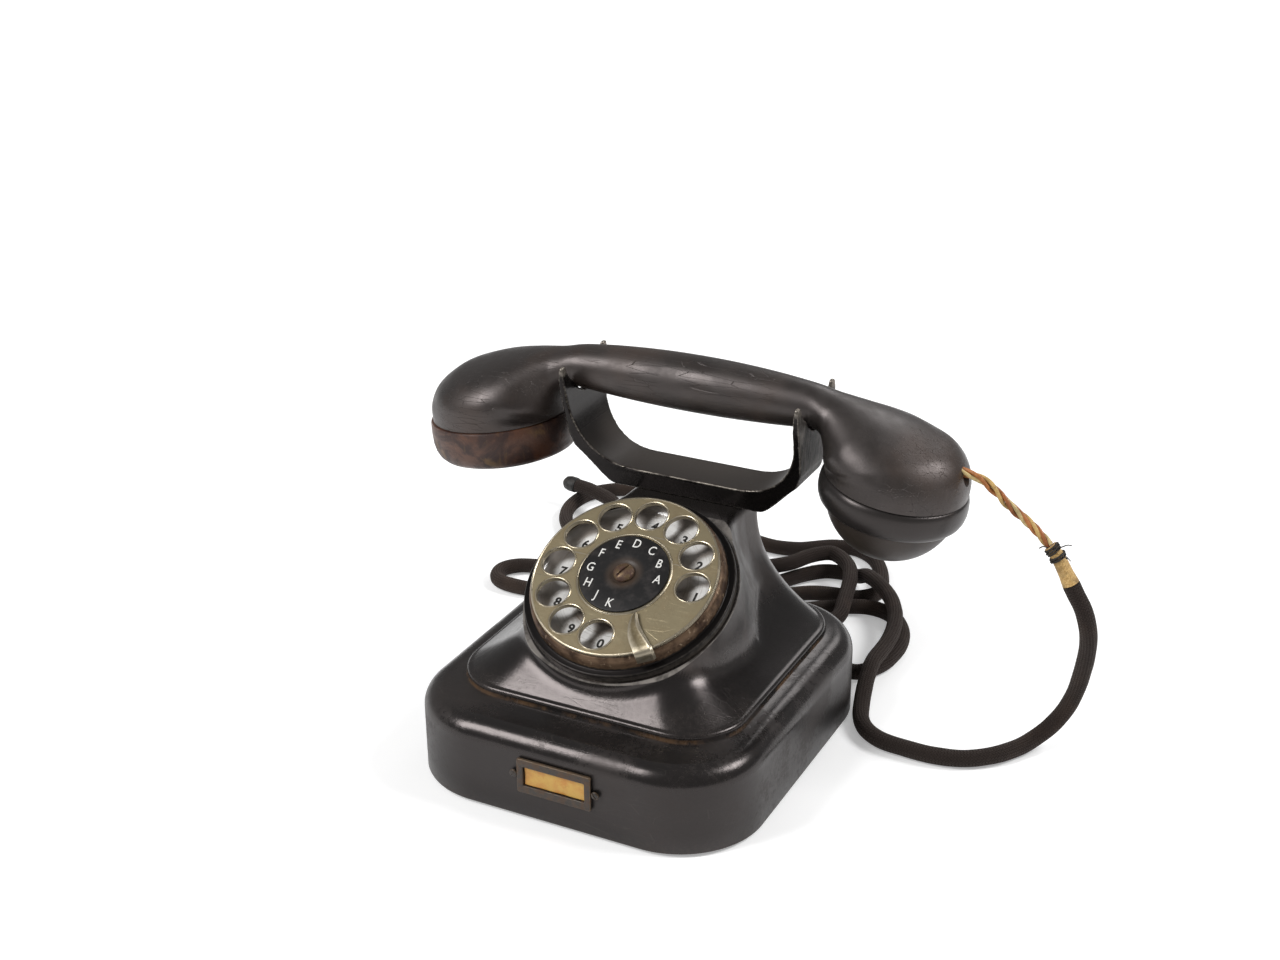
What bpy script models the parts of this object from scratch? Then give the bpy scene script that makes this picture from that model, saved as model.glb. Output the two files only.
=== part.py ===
"""Rotary desk telephone with a pressed metal housing, an inclined dial and a four-horned cradle.

Metres, +Z up. The set faces -Y, the handset lies along X with its earpiece at -X. The base stands
centred on the empty "telephone", which is shifted so that set and handset together are centred on X = 0.
"""
import math

import bmesh
import bpy
from mathutils import Matrix, Vector

MM = 0.001
GAP = 0.3 * MM                      # clearance between pieces that touch on the real set

# Housing: plinth, step and neck
PLINTH_HALF_X = 76.2 * MM
PLINTH_HALF_Y = 81.5 * MM
PLINTH_CORNER = 37.0 * MM
PLINTH_WALL_TOP = 30.0 * MM
SHOULDER = 8.5 * MM                 # radius of the rounded shoulder above the wall
HOUSING_BOTTOM = 1.5 * MM
SHEET = 2.0 * MM                    # wall of the pressed housing
STEP_HALF_X = 63.6 * MM
STEP_HALF_Y = 65.0 * MM
STEP_CENTRE_Y = 5.8 * MM
STEP_CORNER = 26.0 * MM
STEP_RISE = 3.6 * MM
NECK_HALF_X = 27.0 * MM
NECK_FRONT = 33.0 * MM
NECK_REAR = 67.0 * MM
NECK_CORNER = 13.0 * MM
NECK_TOP = 94.5 * MM
SIDE_FLARE = 2.8                    # exponent of the hollow curve from the step up to the neck
FRONT_FLARE = 0.52                  # exponent of the fuller curve of the front apron
DRUM_BLEND = 12.0 * MM              # how softly the dial drum flows into the neck

# Dial
DIAL_Y = -16.9 * MM
DIAL_Z = 85.2 * MM
DIAL_TILT = math.radians(28.8)      # the dial's axis from the vertical, towards the user
WHEEL_RADIUS = 40.2 * MM
WHEEL_THICK = 1.6 * MM
HOLE_CIRCLE = 30.7 * MM
HOLE_RADIUS = 7.0 * MM
HOLE_COUNT = 10
HOLE_STEP = math.radians(30)
FIRST_HOLE = math.radians(1.7)
CASE_RADIUS = 42.0 * MM
SEAT_WIDTH = 4.5 * MM               # the housing's ledge round the dial case
DRUM_RADIUS = CASE_RADIUS + SEAT_WIDTH
DRUM_LIP = 12.0 * MM                # depth of the housing's lip under the finger wheel's face
CASE_DEPTH = 27.0 * MM
CASE_WALL = 1.6 * MM
PLATE_RADIUS = CASE_RADIUS - CASE_WALL - GAP
PLATE_DEPTH = 8.5 * MM
NUMBER_PLATE_THICK = 1.0 * MM
DISC_RADIUS = 19.2 * MM
SHAFT_RADIUS = 2.5 * MM
GEAR_TEETH = 36
PINION_TEETH = 12
GEAR_PITCH_RADIUS = 18.0 * MM
GEAR_THICK = 1.6 * MM
TOOTH_HALF = 0.7 * MM               # how far a tooth stands above and below the pitch circle
TOOTH_CLEARANCE = 0.9 * MM
PIN_RADIUS = 1.5 * MM               # pins of the pinion, the lever and the clapper

# Cradle and its stem
CRADLE_Y = 51.2 * MM
CRADLE_TOP = 149.0 * MM
CRADLE_BOTTOM = 95.5 * MM
CRADLE_FLOOR = 105.0 * MM           # top of the bar between the arms
ARM_OUTER = 56.0 * MM
ARM_INNER = 51.5 * MM
BAR_HALF_X = 34.0 * MM
BAR_HALF_Y = 10.0 * MM
HORN_HALF_Y = 20.6 * MM
HORN_THICK = 4.2 * MM
STEM_HALF_X = 9.0 * MM
STEM_HALF_Y = 5.0 * MM
STEM_BOTTOM = 58.0 * MM

# Handset
HANDLE_Z = 144.6 * MM
HANDLE_RADIUS = 12.4 * MM
HANDLE_END_RADIUS = 9.4 * MM
EAR_X = -97.0 * MM
EAR_RADIUS = 32.4 * MM
EAR_JOINT_Z = 116.6 * MM
EAR_TILT = math.radians(7.6)
EAR_CAP_HEIGHT = 18.8 * MM
MOUTH_X = 92.2 * MM
MOUTH_RADIUS = 30.4 * MM
MOUTH_JOINT_Z = 118.4 * MM
MOUTH_TILT = math.radians(9.8)
MOUTH_RING_HEIGHT = 13.4 * MM
DOME_RADIUS = 27.4 * MM
DOME_DEPTH = 21.6 * MM
CUP_WALL = 3.0 * MM
DOME_WALL = 2.5 * MM

# Cords
CORD_RADIUS = 3.75 * MM
CORD_STRIDE = 5.2 * CORD_RADIUS       # spacing of a cord's points

PHONE_X = ((EAR_RADIUS - EAR_X) - (MOUTH_RADIUS + MOUTH_X)) / 2

for existing in list(bpy.data.objects):
    bpy.data.objects.remove(existing, do_unlink=True)

parts = bpy.data.collections.new("desk_telephone")
cutters = bpy.data.collections.new("cutters")
bpy.context.scene.collection.children.link(parts)
bpy.context.scene.collection.children.link(cutters)


def material(name, colour, roughness, metallic=0.0):
    made = bpy.data.materials.new(name)
    made.use_nodes = True
    shader = made.node_tree.nodes["Principled BSDF"]
    shader.inputs["Base Color"].default_value = (*colour, 1.0)
    shader.inputs["Roughness"].default_value = roughness
    shader.inputs["Metallic"].default_value = metallic
    return made


BLACK_LACQUER = material("black_lacquer", (0.012, 0.011, 0.011), 0.3)
CAST_BLACK = material("cast_black", (0.016, 0.015, 0.014), 0.45, 0.3)
BAKELITE = material("bakelite", (0.022, 0.019, 0.017), 0.5)
BROWN_BAKELITE = material("brown_bakelite", (0.09, 0.035, 0.015), 0.45)
BRASS = material("aged_brass", (0.36, 0.3, 0.18), 0.35, 0.9)
ENAMEL = material("white_enamel", (0.8, 0.79, 0.75), 0.2)
STEEL = material("steel", (0.4, 0.4, 0.4), 0.35, 1.0)
GONG_BRASS = material("gong_brass", (0.55, 0.42, 0.18), 0.25, 1.0)
COPPER_COIL = material("copper_coil", (0.35, 0.13, 0.05), 0.4, 0.6)
RUBBER = material("rubber", (0.02, 0.02, 0.02), 0.8)
CARD = material("label_card", (0.62, 0.36, 0.06), 0.7)
BRAID = material("cord_braid", (0.015, 0.013, 0.012), 0.9)
WIRE_RUBBER = material("wire_rubber", (0.55, 0.22, 0.07), 0.6)
THREAD = material("whipping_thread", (0.5, 0.32, 0.1), 0.6)


def frame(name, location, rotation=(0.0, 0.0, 0.0), parent=None):
    """An empty that carries pieces, such as a joint's axis."""
    empty = bpy.data.objects.new(name, None)
    empty.location = location
    empty.rotation_euler = rotation
    empty.parent = parent
    parts.objects.link(empty)
    return empty


telephone = frame("telephone", (PHONE_X, 0.0, 0.0))
dial = frame("dial", (0.0, DIAL_Y, DIAL_Z), (DIAL_TILT, 0.0, 0.0), telephone)
cradle = frame("cradle", (0.0, CRADLE_Y, 0.0), parent=telephone)
handset = frame("handset", (0.0, CRADLE_Y, HANDLE_Z), parent=telephone)
ear = frame("ear", (EAR_X, 0.0, EAR_JOINT_Z - HANDLE_Z), (0.0, -EAR_TILT, 0.0), handset)
mouth = frame("mouth", (MOUTH_X, 0.0, MOUTH_JOINT_Z - HANDLE_Z), (0.0, MOUTH_TILT, 0.0), handset)


def place(name, mesh, finish, parent=telephone, location=(0.0, 0.0, 0.0), rotation=(0.0, 0.0, 0.0)):
    made = bpy.data.objects.new(name, mesh)
    made.location = location
    made.rotation_euler = rotation
    made.parent = parent
    if finish is None:
        cutters.objects.link(made)
        made.hide_render = True
        made.display_type = "WIRE"
    else:
        mesh.materials.append(finish)
        parts.objects.link(made)
    return made


def shade(mesh, angle=35.0):
    mesh.shade_smooth()
    mesh.set_sharp_from_angle(angle=math.radians(angle))


def from_bmesh(name, shape):
    bmesh.ops.recalc_face_normals(shape, faces=shape.faces)
    mesh = bpy.data.meshes.new(name)
    shape.to_mesh(mesh)
    shape.free()
    shade(mesh)
    return mesh


def box(name, size, finish, **where):
    shape = bmesh.new()
    bmesh.ops.create_cube(shape, size=1.0, matrix=Matrix.Diagonal((*size, 1.0)))
    return place(name, from_bmesh(name, shape), finish, **where)


def rod(name, radius, length, finish, sides=16, **where):
    """A cylinder along its own Z, centred on its origin."""
    shape = bmesh.new()
    bmesh.ops.create_cone(shape, cap_ends=True, segments=sides, radius1=radius, radius2=radius, depth=length)
    return place(name, from_bmesh(name, shape), finish, **where)


def turned(name, profile, finish, steps=32, closed=False, **where):
    """A turned piece: its (radius, height) profile runs down the outer side, then back up any bore."""
    mesh = bpy.data.meshes.new(name)
    count = len(profile)
    edges = [(i, i + 1) for i in range(count - 1)]
    if closed:
        edges.append((count - 1, 0))
    mesh.from_pydata([(r, 0.0, z) for r, z in profile], edges, [])
    made = place(name, mesh, finish, **where)
    screw = made.modifiers.new("turning", "SCREW")
    screw.axis = "Z"
    screw.steps = screw.render_steps = steps
    screw.use_merge_vertices = True
    screw.merge_threshold = 0.00001
    screw.use_smooth_shade = True
    return made


def slab(name, outline, thickness, finish, holes=(), **where):
    """A flat outline with holes in its own XY plane, extruded evenly to both sides of that plane."""
    curve = bpy.data.curves.new(name, "CURVE")
    curve.dimensions = "2D"
    curve.fill_mode = "BOTH"
    curve.extrude = thickness / 2
    for loop in (outline, *holes):
        spline = curve.splines.new("POLY")
        spline.points.add(len(loop) - 1)
        spline.use_cyclic_u = True
        for point, (x, y) in zip(spline.points, loop):
            point.co = (x, y, 0.0, 1.0)
    return place_curve(name, curve, finish, **where)


def place_curve(name, curve, finish, **where):
    """Turns a curve into a mesh piece with its caps welded."""
    holder = bpy.data.objects.new(name + "_curve", curve)
    bpy.context.scene.collection.objects.link(holder)
    graph = bpy.context.evaluated_depsgraph_get()
    mesh = bpy.data.meshes.new_from_object(holder.evaluated_get(graph))
    bpy.data.objects.remove(holder, do_unlink=True)
    bpy.data.curves.remove(curve)
    shape = bmesh.new()
    shape.from_mesh(mesh)
    bpy.data.meshes.remove(mesh)
    bmesh.ops.remove_doubles(shape, verts=shape.verts, dist=0.000005)
    return place(name, from_bmesh(name, shape), finish, **where)


def cut(target, cutter, operation="DIFFERENCE"):
    boolean = target.modifiers.new(cutter.name, "BOOLEAN")
    boolean.operation = operation
    boolean.solver = "EXACT"
    boolean.object = cutter


def arc(centre, radius, start, end, count):
    """Points of an arc in a plane, from one angle in degrees to another."""
    angles = [math.radians(start + (end - start) * i / (count - 1)) for i in range(count)]
    return [(centre[0] + radius * math.cos(a), centre[1] + radius * math.sin(a)) for a in angles]


def circle(radius, count, x=0.0, y=0.0):
    angles = [2 * math.pi * i / count for i in range(count)]
    return [(x + radius * math.cos(a), y + radius * math.sin(a)) for a in angles]


def loft(name, rings, finish, **where):
    """A closed solid through rings of equal point counts, with flat ends."""
    shape = bmesh.new()
    made = [[shape.verts.new(point) for point in ring] for ring in rings]
    count = len(rings[0])
    for lower, upper in zip(made, made[1:]):
        for i in range(count):
            j = (i + 1) % count
            shape.faces.new((lower[i], lower[j], upper[j], upper[i]))
    shape.faces.new(made[0])
    shape.faces.new(made[-1])
    bmesh.ops.triangulate(shape, faces=[f for f in shape.faces if len(f.verts) == 4])
    return place(name, from_bmesh(name, shape), finish, **where)


# Housing: one pressed shell, from the plinth's wall over the shoulder and the step to the neck


def rectangle_distance(x, y, half_x, half_y, corner):
    """Distance to a rounded rectangle centred on the origin, negative inside."""
    qx = abs(x) - half_x + corner
    qy = abs(y) - half_y + corner
    outside = math.hypot(max(qx, 0.0), max(qy, 0.0))
    return outside + min(max(qx, qy), 0.0) - corner


def soft_union(a, b, blend):
    overlap = max(blend - abs(a - b), 0.0)
    return min(a, b) - overlap * overlap / (4 * blend)


def neck_distance(x, y, z):
    """Distance to the upper housing at height z: the flared neck joined softly to the dial drum."""
    rise = (z - STEP_TOP) / (NECK_TOP - STEP_TOP)
    left = 1.0 - rise
    side = left ** SIDE_FLARE
    half_x = NECK_HALF_X + (STEP_HALF_X - STEP_ROUND - NECK_HALF_X) * side
    step_front = STEP_CENTRE_Y - STEP_HALF_Y + STEP_ROUND
    step_rear = STEP_CENTRE_Y + STEP_HALF_Y - STEP_ROUND
    front = NECK_FRONT + (step_front - NECK_FRONT) * left ** FRONT_FLARE
    rear = NECK_REAR + (step_rear - NECK_REAR) * side
    corner = NECK_CORNER + (STEP_CORNER - NECK_CORNER) * side
    neck = rectangle_distance(x, y - (front + rear) / 2, half_x, (rear - front) / 2, corner)
    along = -math.sin(DIAL_TILT) * (y - DIAL_Y) + math.cos(DIAL_TILT) * (z - DIAL_Z)
    up = math.cos(DIAL_TILT) * (y - DIAL_Y) + math.sin(DIAL_TILT) * (z - DIAL_Z)
    drum = max(math.hypot(x, up) - DRUM_RADIUS, -along - DRUM_BACK)
    step = rectangle_distance(x, y - STEP_CENTRE_Y, STEP_HALF_X - STEP_ROUND, STEP_HALF_Y - STEP_ROUND,
                              STEP_CORNER - STEP_ROUND)
    return max(soft_union(neck, drum, DRUM_BLEND), step)


STEP_FOOT = PLINTH_WALL_TOP + SHOULDER + 0.4 * MM
STEP_ROUND = 1.6 * MM
STEP_TOP = STEP_FOOT + STEP_RISE
DRUM_BACK = 40.0 * MM
NECK_ROUND = 2.0 * MM
NECK_CORE_Y = 0.6 * NECK_FRONT + 0.4 * NECK_REAR


def ray_ring(distance, centre_y, z, inset, count):
    """Points where rays at even angles from (0, centre_y) leave the section at height z."""
    ring = []
    for i in range(count):
        angle = 2 * math.pi * (i + 0.5) / count
        dx, dy = math.cos(angle), math.sin(angle)
        near, far = 0.0, 160.0 * MM
        for _ in range(26):
            middle = (near + far) / 2
            if distance(dx * middle, centre_y + dy * middle, z) + inset < 0:
                near = middle
            else:
                far = middle
        ring.append((dx * near, centre_y + dy * near, z))
    return ring


def plinth(x, y, _):
    return rectangle_distance(x, y, PLINTH_HALF_X, PLINTH_HALF_Y, PLINTH_CORNER)


def step(x, y, _):
    return rectangle_distance(x, y - STEP_CENTRE_Y, STEP_HALF_X, STEP_HALF_Y, STEP_CORNER)


def housing_rings(inset, count, neck_levels):
    """Rings of the housing's outside, or of its inside when inset is the sheet's thickness."""
    bottom = HOUSING_BOTTOM if inset == 0 else HOUSING_BOTTOM - SHEET
    rings = [ray_ring(plinth, 0.0, bottom, inset, count)]
    rings.append(ray_ring(plinth, 0.0, PLINTH_WALL_TOP, inset, count))
    for i in range(1, 5):
        turn = math.radians(22.5 * i)
        over = SHOULDER - (SHOULDER - inset) * math.cos(turn)
        height = PLINTH_WALL_TOP + (SHOULDER - inset) * math.sin(turn)
        rings.append(ray_ring(plinth, 0.0, height, over, count))
    rings.append(ray_ring(step, STEP_CENTRE_Y, STEP_FOOT - inset, inset, count))
    rings.append(ray_ring(step, STEP_CENTRE_Y, STEP_TOP - STEP_ROUND - inset, inset, count))
    edge = 0.3 * STEP_ROUND
    rings.append(ray_ring(step, STEP_CENTRE_Y, STEP_TOP - edge - inset, inset + edge, count))
    for rise in neck_levels:
        z = STEP_TOP + rise * (NECK_TOP - STEP_TOP)
        centre_y = STEP_CENTRE_Y + rise * (NECK_CORE_Y - STEP_CENTRE_Y)
        ring = ray_ring(neck_distance, centre_y, z, inset, count)
        rings.append([(x, y, height - inset) for x, y, height in ring])
    ring = ray_ring(neck_distance, NECK_CORE_Y, NECK_TOP, inset + NECK_ROUND, count)
    rings.append([(x, y, height + NECK_ROUND / 2 - inset) for x, y, height in ring])
    return rings


def lip_box(name, depth):
    """The room above the dial seat, cut off square to the dial's axis."""
    reach = 140.0 * MM
    return box(name, (reach, reach, reach), None, parent=dial, location=(0.0, 0.0, reach / 2 - depth))


HOLLOW_SIDES = 40
LEVELS = [0.0, 0.04, 0.1, 0.17, 0.25, 0.34, 0.44, 0.54, 0.64, 0.74, 0.84, 0.93, 1.0]
housing = loft("housing", housing_rings(0.0, 56, LEVELS), BLACK_LACQUER)
hollow = loft("housing_hollow", housing_rings(SHEET, HOLLOW_SIDES, LEVELS[::2]), None)
cut(hollow, lip_box("hollow_lip", DRUM_LIP + SHEET))
cut(housing, lip_box("housing_lip", DRUM_LIP))
cut(housing, hollow)
DIAL_BORE = CASE_RADIUS + GAP
cut(housing, rod("dial_bore", DIAL_BORE, 6 * SHEET, None, 48, parent=dial, location=(0.0, 0.0, -DRUM_LIP)))

GUIDE_HALF_X = STEM_HALF_X + 3.0 * MM
GUIDE_HALF_Y = STEM_HALF_Y + 3.0 * MM
cut(housing, box("neck_bore", (2 * GUIDE_HALF_X + 2 * GAP, 2 * GUIDE_HALF_Y + 2 * GAP, 10 * SHEET), None,
                 parent=cradle, location=(0.0, 0.0, NECK_TOP)))

# Base plate, feet and the screws that hold the plate
PLATE_THICK = 2.0 * MM
FOOT_RADIUS = 7.0 * MM
FOOT_INSET = 30.0 * MM
PLATE_TOP = HOUSING_BOTTOM + PLATE_THICK
plate_outline = [(x, y) for x, y, _ in ray_ring(plinth, 0.0, 0.0, SHEET + GAP, HOLLOW_SIDES)]
slab("base_plate", plate_outline, PLATE_THICK, STEEL, location=(0.0, 0.0, HOUSING_BOTTOM + PLATE_THICK / 2))
corners = [(-1, -1), (1, -1), (1, 1), (-1, 1)]
for number, (sx, sy) in enumerate(corners, 1):
    spot = (sx * (PLINTH_HALF_X - FOOT_INSET), sy * (PLINTH_HALF_Y - FOOT_INSET))
    turned(f"foot_{number}", [(0.0, HOUSING_BOTTOM - GAP), (FOOT_RADIUS, HOUSING_BOTTOM - GAP),
                              (FOOT_RADIUS - 0.5 * MM, 0.0), (0.0, 0.0)], RUBBER, 20, location=(*spot, 0.0))
for number, sx in enumerate((-1, 1), 1):
    turned(f"base_screw_{number}", [(0.0, 1.0 * MM), (2.0 * MM, 1.0 * MM), (3.2 * MM, 0.0), (0.0, 0.0)],
           STEEL, 12, location=(sx * (PLINTH_HALF_X - 18 * MM), 0.0, HOUSING_BOTTOM - GAP - 1.0 * MM))

# Label frame on the front wall, its card and its two screws
LABEL_X = 1.9 * MM
LABEL_Z = 21.7 * MM
LABEL_HALF_X = 16.8 * MM
LABEL_HALF_Z = 7.8 * MM
WINDOW_HALF_X = 13.9 * MM
WINDOW_HALF_Z = 4.3 * MM
EAR_REACH = 20.4 * MM
EAR_SCREW_X = 18.6 * MM
LABEL_THICK = 1.6 * MM
front_wall = -PLINTH_HALF_Y
facing = (math.radians(90), 0.0, 0.0)
ear_round = arc((EAR_REACH - 4.6 * MM, 0.0), 4.6 * MM, -60, 60, 7)
ear_left = [(-x, -y) for x, y in ear_round]
outline = [(-LABEL_HALF_X, -LABEL_HALF_Z), (LABEL_HALF_X, -LABEL_HALF_Z)] + [(LABEL_HALF_X, -4.6 * MM)]
outline += ear_round + [(LABEL_HALF_X, 4.6 * MM), (LABEL_HALF_X, LABEL_HALF_Z)]
outline += [(-LABEL_HALF_X, LABEL_HALF_Z)]
outline += [(-LABEL_HALF_X, 4.6 * MM)] + ear_left + [(-LABEL_HALF_X, -4.6 * MM)]
window = [(-WINDOW_HALF_X, -WINDOW_HALF_Z), (WINDOW_HALF_X, -WINDOW_HALF_Z),
          (WINDOW_HALF_X, WINDOW_HALF_Z), (-WINDOW_HALF_X, WINDOW_HALF_Z)]
slab("label_frame", outline, LABEL_THICK, CAST_BLACK, [window], rotation=facing,
     location=(LABEL_X, front_wall - GAP - LABEL_THICK / 2, LABEL_Z))
CARD_THICK = 0.5 * MM
box("label_card", (2 * WINDOW_HALF_X - 2 * GAP, CARD_THICK, 2 * WINDOW_HALF_Z - 2 * GAP), CARD,
    location=(LABEL_X, front_wall - GAP - CARD_THICK / 2, LABEL_Z))
for number, sx in enumerate((-1, 1), 1):
    turned(f"label_screw_{number}", [(0.0, 1.0 * MM), (1.2 * MM, 0.8 * MM), (1.8 * MM, 0.0), (0.0, 0.0)],
           CAST_BLACK, 12, rotation=facing,
           location=(LABEL_X + sx * EAR_SCREW_X, front_wall - 2 * GAP - LABEL_THICK, LABEL_Z))

# Rubber bushes where the two cords enter the rear wall
BUSH_X = 16.0 * MM
BUSH_Z = 18.0 * MM
BUSH_RADIUS = 5.4 * MM
BUSH_FLANGE = 7.4 * MM
FLANGE_THICK = 2.4 * MM
rear_wall = PLINTH_HALF_Y
REAR_FACE = rear_wall + 2 * GAP + FLANGE_THICK
backwards = (math.radians(-90), 0.0, 0.0)
for side_name, sx in (("handset", 1), ("line", -1)):
    turned(f"{side_name}_cord_bush", [
        (0.0, GAP + FLANGE_THICK), (BUSH_FLANGE - 1.0 * MM, GAP + FLANGE_THICK),
        (BUSH_FLANGE, GAP + 1.2 * MM), (BUSH_FLANGE, GAP), (BUSH_RADIUS, GAP),
        (BUSH_RADIUS, -SHEET - 3.0 * MM), (0.0, -SHEET - 3.0 * MM)],
        RUBBER, 20, location=(sx * BUSH_X, rear_wall, BUSH_Z), rotation=backwards)
    cut(housing, rod(f"{side_name}_bush_hole", BUSH_RADIUS + GAP, 6 * SHEET, None, 20, rotation=backwards,
                     location=(sx * BUSH_X, rear_wall, BUSH_Z)))

# Dial: case, number plate, wheel, label disc and the works behind them.
# Depths count down from the wheel's face.
case_top = -PLATE_DEPTH + 4.0 * MM
flange_top = -DRUM_LIP + GAP + 3.0 * MM
turned("dial_case", [
    (CASE_RADIUS - CASE_WALL, case_top), (CASE_RADIUS - 0.4 * MM, case_top),
    (CASE_RADIUS, case_top - 0.4 * MM),
    (CASE_RADIUS, flange_top + 0.4 * MM), (DRUM_RADIUS - 2.0 * MM, flange_top),
    (DRUM_RADIUS - 1.2 * MM, flange_top - 1.0 * MM), (DRUM_RADIUS - 1.2 * MM, -DRUM_LIP + GAP),
    (CASE_RADIUS, -DRUM_LIP + GAP), (CASE_RADIUS, -CASE_DEPTH), (0.0, -CASE_DEPTH),
    (0.0, -CASE_DEPTH + CASE_WALL), (CASE_RADIUS - CASE_WALL, -CASE_DEPTH + CASE_WALL)], CAST_BLACK, 48,
    closed=True, parent=dial)
plate_back = -PLATE_DEPTH - NUMBER_PLATE_THICK
plate_bore = SHAFT_RADIUS + GAP
turned("number_plate", [
    (plate_bore, -PLATE_DEPTH), (PLATE_RADIUS, -PLATE_DEPTH), (PLATE_RADIUS, plate_back),
    (plate_bore, plate_back)], ENAMEL, 48, closed=True, parent=dial)

finger_holes = []
for number in range(HOLE_COUNT):
    angle = FIRST_HOLE + number * HOLE_STEP
    across, up = HOLE_CIRCLE * math.cos(angle), HOLE_CIRCLE * math.sin(angle)
    finger_holes.append(circle(HOLE_RADIUS, 24, across, up))
wheel_holes = [circle(SHAFT_RADIUS + GAP, 16)] + finger_holes
slab("finger_wheel", circle(WHEEL_RADIUS, 64), WHEEL_THICK, BRASS, wheel_holes, parent=dial,
     location=(0.0, 0.0, -WHEEL_THICK / 2))
DISC_THICK = 0.8 * MM
turned("centre_disc", [
    (SHAFT_RADIUS + GAP, GAP + DISC_THICK), (DISC_RADIUS - 0.4 * MM, GAP + DISC_THICK), (DISC_RADIUS, GAP),
    (SHAFT_RADIUS + GAP, GAP)], CAST_BLACK, 40, closed=True, parent=dial)
screw_foot = DISC_THICK + 2 * GAP
turned("centre_screw", [(0.0, screw_foot + 2.0 * MM), (2.4 * MM, screw_foot + 1.8 * MM),
                        (4.4 * MM, screw_foot + 0.8 * MM), (4.6 * MM, screw_foot), (0.0, screw_foot)],
       BRASS, 20, parent=dial)
shaft_bottom = -CASE_DEPTH + CASE_WALL + GAP
shaft_top = screw_foot - GAP
rod("dial_shaft", SHAFT_RADIUS, shaft_top - shaft_bottom, STEEL, parent=dial,
    location=(0.0, 0.0, (shaft_top + shaft_bottom) / 2))


def gear_outline(teeth, pitch_radius, height):
    """Teeth as trapezoids round a pitch circle."""
    outline = []
    for tooth in range(teeth):
        for part, radius in ((-0.30, -height), (-0.13, height), (0.13, height), (0.30, -height)):
            angle = 2 * math.pi * (tooth + part) / teeth
            reach = pitch_radius + radius
            outline.append((reach * math.cos(angle), reach * math.sin(angle)))
    return outline


GEAR_DEPTH = PLATE_DEPTH + 5.0 * MM
pinion_pitch = GEAR_PITCH_RADIUS * PINION_TEETH / GEAR_TEETH
PINION_X = GEAR_PITCH_RADIUS + pinion_pitch + TOOTH_CLEARANCE
slab("dial_gear", gear_outline(GEAR_TEETH, GEAR_PITCH_RADIUS, TOOTH_HALF), GEAR_THICK, GONG_BRASS,
     [circle(SHAFT_RADIUS + GAP, 16)], parent=dial, location=(0.0, 0.0, -GEAR_DEPTH))
pinion_axis = frame("pinion_axis", (PINION_X, 0.0, 0.0), parent=dial)
half_tooth = math.pi / PINION_TEETH
slab("pinion", gear_outline(PINION_TEETH, pinion_pitch, TOOTH_HALF), GEAR_THICK + 1.0 * MM, GONG_BRASS,
     [circle(PIN_RADIUS + GAP, 12)], parent=pinion_axis, location=(0.0, 0.0, -GEAR_DEPTH),
     rotation=(0.0, 0.0, half_tooth))
pinion_top = plate_back - GAP
rod("pinion_shaft", PIN_RADIUS, pinion_top - shaft_bottom, STEEL, 12, parent=pinion_axis,
    location=(0.0, 0.0, (pinion_top + shaft_bottom) / 2))
CAM_DEPTH = GEAR_DEPTH + 6.0 * MM
CAM_RADIUS = 5.0 * MM
CAM_HALF = 1.0 * MM
turned("pulse_cam", [(PIN_RADIUS + GAP, CAM_HALF), (CAM_RADIUS, CAM_HALF), (CAM_RADIUS, -CAM_HALF),
                     (PIN_RADIUS + GAP, -CAM_HALF)], BROWN_BAKELITE, 20, closed=True, parent=pinion_axis,
       location=(0.0, 0.0, -CAM_DEPTH))
spring_top = -GEAR_DEPTH - GEAR_THICK / 2 - 1.0 * MM
SPRING_RADIUS = 13.0 * MM
turned("mainspring_drum", [(SHAFT_RADIUS + GAP, spring_top), (SPRING_RADIUS, spring_top),
                           (SPRING_RADIUS, shaft_bottom), (SHAFT_RADIUS + GAP, shaft_bottom)], STEEL, 28,
       closed=True, parent=dial)
CONTACT_BLOCK = (7.0 * MM, 12.0 * MM, 6.0 * MM)
contact_z = shaft_bottom + CONTACT_BLOCK[2] / 2
box("pulse_contact_block", CONTACT_BLOCK, BROWN_BAKELITE, parent=dial,
    location=(CASE_RADIUS - 16.0 * MM, 18.0 * MM, contact_z))

# Finger stop: a crescent arm over the wheel, folded over its rim onto the case
STOP_LIFT = 1.4 * MM
STOP_THICK = 0.9 * MM
stop_outer = WHEEL_RADIUS + 1.0 * MM


def polar(radius, degrees):
    return (radius * math.cos(math.radians(degrees)), radius * math.sin(math.radians(degrees)))


fold_angles = (-46.8, -50, -54, -58.2)
fold_outside = [polar(stop_outer + STOP_THICK, angle) for angle in fold_angles]
fold_inside = [polar(stop_outer, angle) for angle in fold_angles]
crescent = [polar(21.6 * MM, -53), polar(24.5 * MM, -50.5), polar(28.5 * MM, -48.3), polar(33.0 * MM, -47.3)]
crescent += fold_outside
crescent += [polar(35.0 * MM, -60.5), polar(30.5 * MM, -61.5), polar(26.0 * MM, -60), polar(22.5 * MM, -56)]
stop = slab("finger_stop", crescent, STOP_THICK, BRASS, parent=dial,
            location=(0.0, 0.0, STOP_LIFT + STOP_THICK / 2))
leg_foot = case_top + GAP
leg_top = STOP_LIFT + STOP_THICK
leg = slab("finger_stop_leg", fold_outside + fold_inside[::-1], leg_top - leg_foot, None, parent=dial,
           location=(0.0, 0.0, (leg_top + leg_foot) / 2))
cut(stop, leg, "UNION")

# Cradle: a cast fork, its front outline and its side outline each cut from a block


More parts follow.
